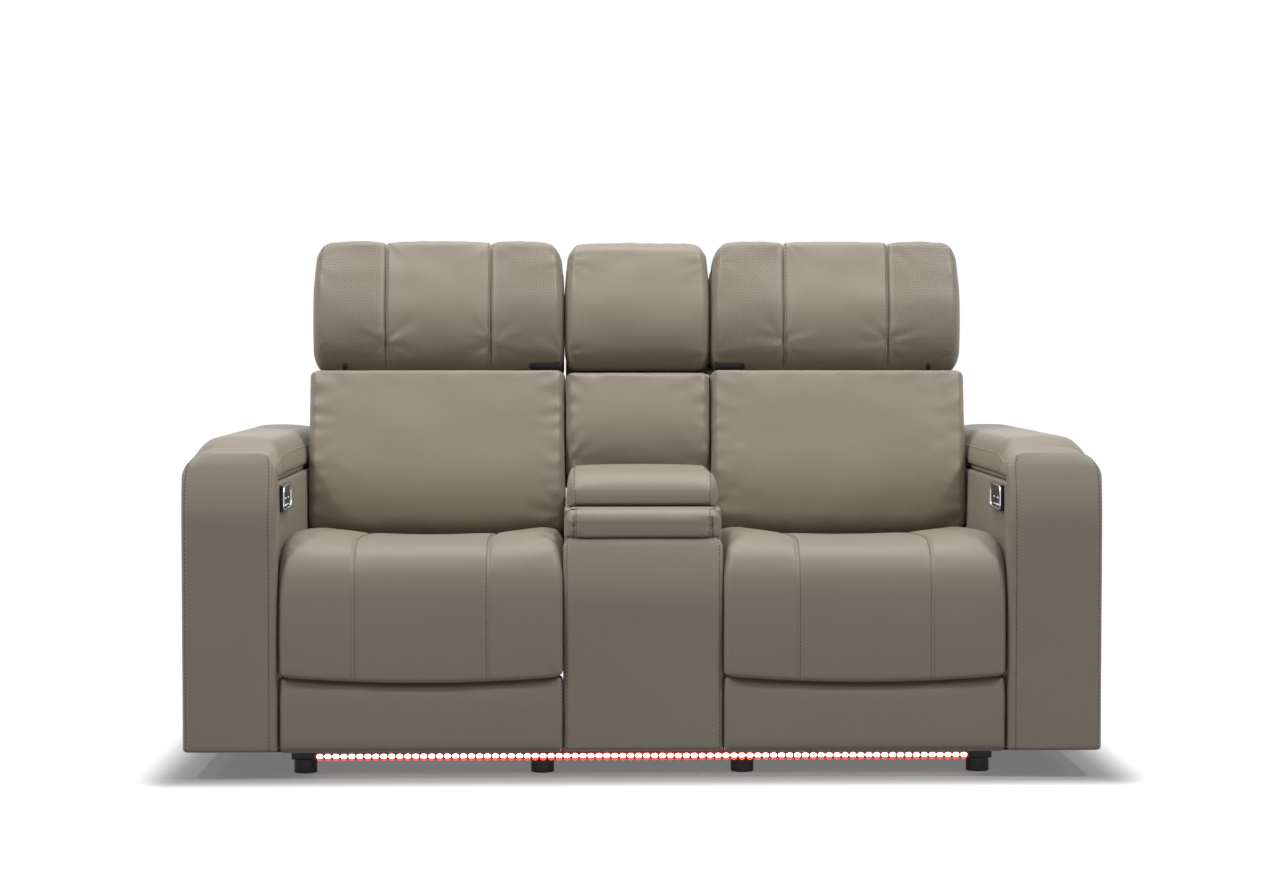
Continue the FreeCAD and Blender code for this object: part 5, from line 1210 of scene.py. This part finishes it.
def make_switches(side):
    """The bezel of an arm's switch panel, its lit marks, and a lit bar on each rocker."""
    sign = SIDES[side]
    low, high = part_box(f"control_panel_{side}")
    face = low.x if sign > 0 else high.x
    centre = ((low.y + high.y) / 2, (low.z + high.z) / 2)
    half = ((high.y - low.y) / 2, (high.z - low.z) / 2)
    bezel = ring_frame(face + sign * 0.001, sign, rounded_ring(centre, half, 0.0005, 0.020),
                       rounded_ring(centre, half, 0.0048, 0.0152), 0.0032)
    outward_piece(f"switch_bezel_{side}", [bezel], [MATERIALS["chrome"]], "base")
    sizes = [(y, 0.0042, 0.0011 + 0.0004 * n) for n, y in enumerate((-0.425, -0.410, -0.395))]
    sizes += [(y, 0.003, 0.0011) for y in (-0.372, -0.355)]
    marks = [bar_mark(face - sign * 0.0006, y, centre[1] - 0.015, *size) for y, *size in sizes]
    outward_piece(f"switch_icons_{side}", marks, [MATERIALS["icon"]], "base")
    for node, length in ((f"recline_switch_{side}", 0.015), (f"head_switch_{side}", 0.010)):
        low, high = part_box(node)
        x = (low.x if sign > 0 else high.x) - sign * 0.0003
        bar = bar_mark(x, (low.y + high.y) / 2, (low.z + high.z) / 2, length * 0.55, 0.0012)
        outward_piece(f"{node}_bar", [bar], [MATERIALS["icon"]], node)


def bar_mark(x, y, z, half_y, half_z, sides=16, half_x=0.0002):
    """A small lit mark with rounded ends."""
    ring = []
    for k in range(sides):
        cos, sin = math.cos(2 * math.pi * k / sides), math.sin(2 * math.pi * k / sides)
        ring.append((y + math.copysign(half_y - half_z, cos) + half_z * cos, z + half_z * sin))
    verts = [(x - half_x, a, b) for a, b in ring] + [(x + half_x, a, b) for a, b in ring]
    faces = [list(range(sides)), list(range(sides, 2 * sides))[::-1]]
    return np.array(verts), faces + tube_faces(2, sides)


# Light strip

LED_PITCH, LED_SQUASH = 1 / 60, 1.5


def dome(centre, radius, squash=1.0, rings=5, sides=10):
    """A half-round lens that looks forward."""
    verts = []
    for r in range(rings):
        tilt = math.pi / 2 * r / (rings - 1)
        for k in range(sides):
            turn = 2 * math.pi * k / sides
            verts.append((centre[0] + radius * math.cos(tilt) * math.cos(turn) * squash,
                          centre[1] - radius * 0.6 * math.sin(tilt),
                          centre[2] + radius * math.cos(tilt) * math.sin(turn)))
    return np.array(verts), tube_faces(rings, sides)


def make_strip():
    """The strip's row of white lights over its row of red ones."""
    low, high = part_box("led_strip")
    count = int((high.x - low.x) / LED_PITCH)
    start = -(count - 1) / 2 * LED_PITCH
    for colour, rise, radius in (("white", 0.0070, 0.0046), ("red", 0.0010, 0.0040)):
        beads = [dome((start + k * LED_PITCH, low.y, low.z + rise), radius, LED_SQUASH) for k in range(count)]
        outward_piece(f"strip_{colour}_lights", beads, [MATERIALS[f"{colour}_led"]], "base")


# Carried-over nodes

FINISHES = {
    "black_steel": "base_frame guide_stands seat_frame footrest_brackets footrest_stays",
    "bright_steel": "actuator_rods lid_hinges seat_springs",
    "black_plastic": "base_feet power_supply seat_actuator",
    "key_plastic": "recline_switch head_switch light_switch",
    # The inner frames get the near-black of the gaps' painted shade.
    "gap_shade_black": "arm_frame console_frame console_back_frame footrest_board back_frame head_frame",
    "glass": "control_panel",
    "strip": "led_strip",
}


def dress_nodes():
    """Gives each node that scene.py keeps its finish."""
    finishes = {name: finish for finish, names in FINISHES.items() for name in names.split()}
    for name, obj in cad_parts.items():
        finish = finishes.get(name.removesuffix("_left").removesuffix("_right"), "leather")
        if not obj.data.materials:
            obj.data.materials.append(None)
        for slot in obj.material_slots:
            slot.material = MATERIALS[finish]


# Studio

FLOOR_TONE = 0.30
FOOTPRINT = (0.95, 0.50)
FLOOR_FADE = 0.14
FLOOR_GLOW_UNDER_UNIT = 0.17
LAMP_TARGET, LAMP_SIZE = (0.0, 0.0, 0.6), 0.25
SIDE_LAMPS = (("high", (2.0, -1.5, 2.9), 31.0), ("low", (3.2, -1.6, 2.3), 12.0))


def make_floor():
    """A pale floor that glows white for the camera round the unit; over the unit's footprint the glow is
    turned down, a painted shade added to the real shadow under it.
    """
    size = 30.0
    corners = [(-size, -size, 0), (size, -size, 0), (size, size, 0), (-size, size, 0)]
    floor = mesh_object("floor", corners, [[0, 1, 2, 3]])
    n = Nodes(bpy.data.materials.new("studio_floor"))
    n.colour(n.ramp(n.noise(1.5), (0.2, (FLOOR_TONE,) * 3), (0.8, (FLOOR_TONE * 1.02,) * 3)))
    n.set(Roughness=0.9, Specular_IOR_Level=0.1)
    seen = n.seen_directly()
    split = n.add("ShaderNodeSeparateXYZ", {0: n.coords}).outputs
    beyond = [n.math("MAXIMUM", n.math("SUBTRACT", n.math("ABSOLUTE", split[axis]), edge), 0.0)
              for axis, edge in zip("XY", FOOTPRINT)]
    squares = [n.math("POWER", distance, 2.0) for distance in beyond]
    reach = n.math("POWER", n.math("ADD", *squares), 0.5)
    # Camera-only glow, weakest over the unit's footprint and full white a little beyond it: painted shade
    # under the unit.
    turn = {"Value": reach, "From Min": 0.0, "From Max": FLOOR_FADE, "To Min": FLOOR_GLOW_UNDER_UNIT, "To Max": 1.0}
    far = n.add("ShaderNodeMapRange", turn, interpolation_type="SMOOTHSTEP")
    n.set(Emission_Color=(1.0, 1.0, 1.0, 1.0))
    n.join(n.math("MULTIPLY", seen, far.outputs["Result"]), n.shader.inputs["Emission Strength"])
    floor.data.materials.append(n.owner)


def make_world(level):
    """White where it is seen or mirrored, and faint as a light."""
    world = bpy.data.worlds.new("studio")
    bpy.context.scene.world = world
    n = Nodes(world)
    background = n.tree.nodes["Background"]
    n.join(n.spread(n.seen_directly(), level, 1.0), background.inputs["Strength"])
    background.inputs["Color"].default_value = (1.0, 1.0, 1.0, 1.0)


def add_light(name, place, target, size, power, size_y=None):
    """An area light that looks at its target."""
    data = bpy.data.lights.new(name, "AREA")
    data.energy, data.size = power, size
    if size_y:
        data.shape, data.size_y = "RECTANGLE", size_y
    light = bpy.data.objects.new(name, data)
    bpy.context.scene.collection.objects.link(light)
    light.location = place
    light.rotation_euler = (Vector(target) - Vector(place)).to_track_quat("-Z", "Y").to_euler()


def make_camera():
    """The camera that the photograph was matched with."""
    data = bpy.data.cameras.new("camera")
    data.lens, data.sensor_width, data.sensor_fit = 73.6, 36.0, "HORIZONTAL"
    camera = bpy.data.objects.new("camera", data)
    bpy.context.scene.collection.objects.link(camera)
    camera.location = (-0.115, -5.86, 0.906)
    camera.rotation_euler = (math.radians(90 - 2.21), 0, math.radians(-1.14))
    bpy.context.scene.camera = camera


def make_studio():
    """Floor, background, lights and camera."""
    make_floor()
    make_world(0.05)
    add_light("overhead", (0.0, -0.30, 2.6), (0.0, -0.06, 0.4), 2.6, 35.0, size_y=1.2)
    for name, side in (("left", -1), ("right", 1)):
        for level, (x, y, z), power in SIDE_LAMPS:
            add_light(f"{name}_{level}", (x * side, y, z), LAMP_TARGET, LAMP_SIZE, power)
    make_camera()
    bpy.context.scene.view_settings.view_transform = "Standard"


# The whole unit

dress_nodes()
for side in SIDES:
    make_seat(side)
    make_back(side)
    make_head(side)
    make_arm(side)
    make_switches(side)
make_console()
make_strip()
make_studio()
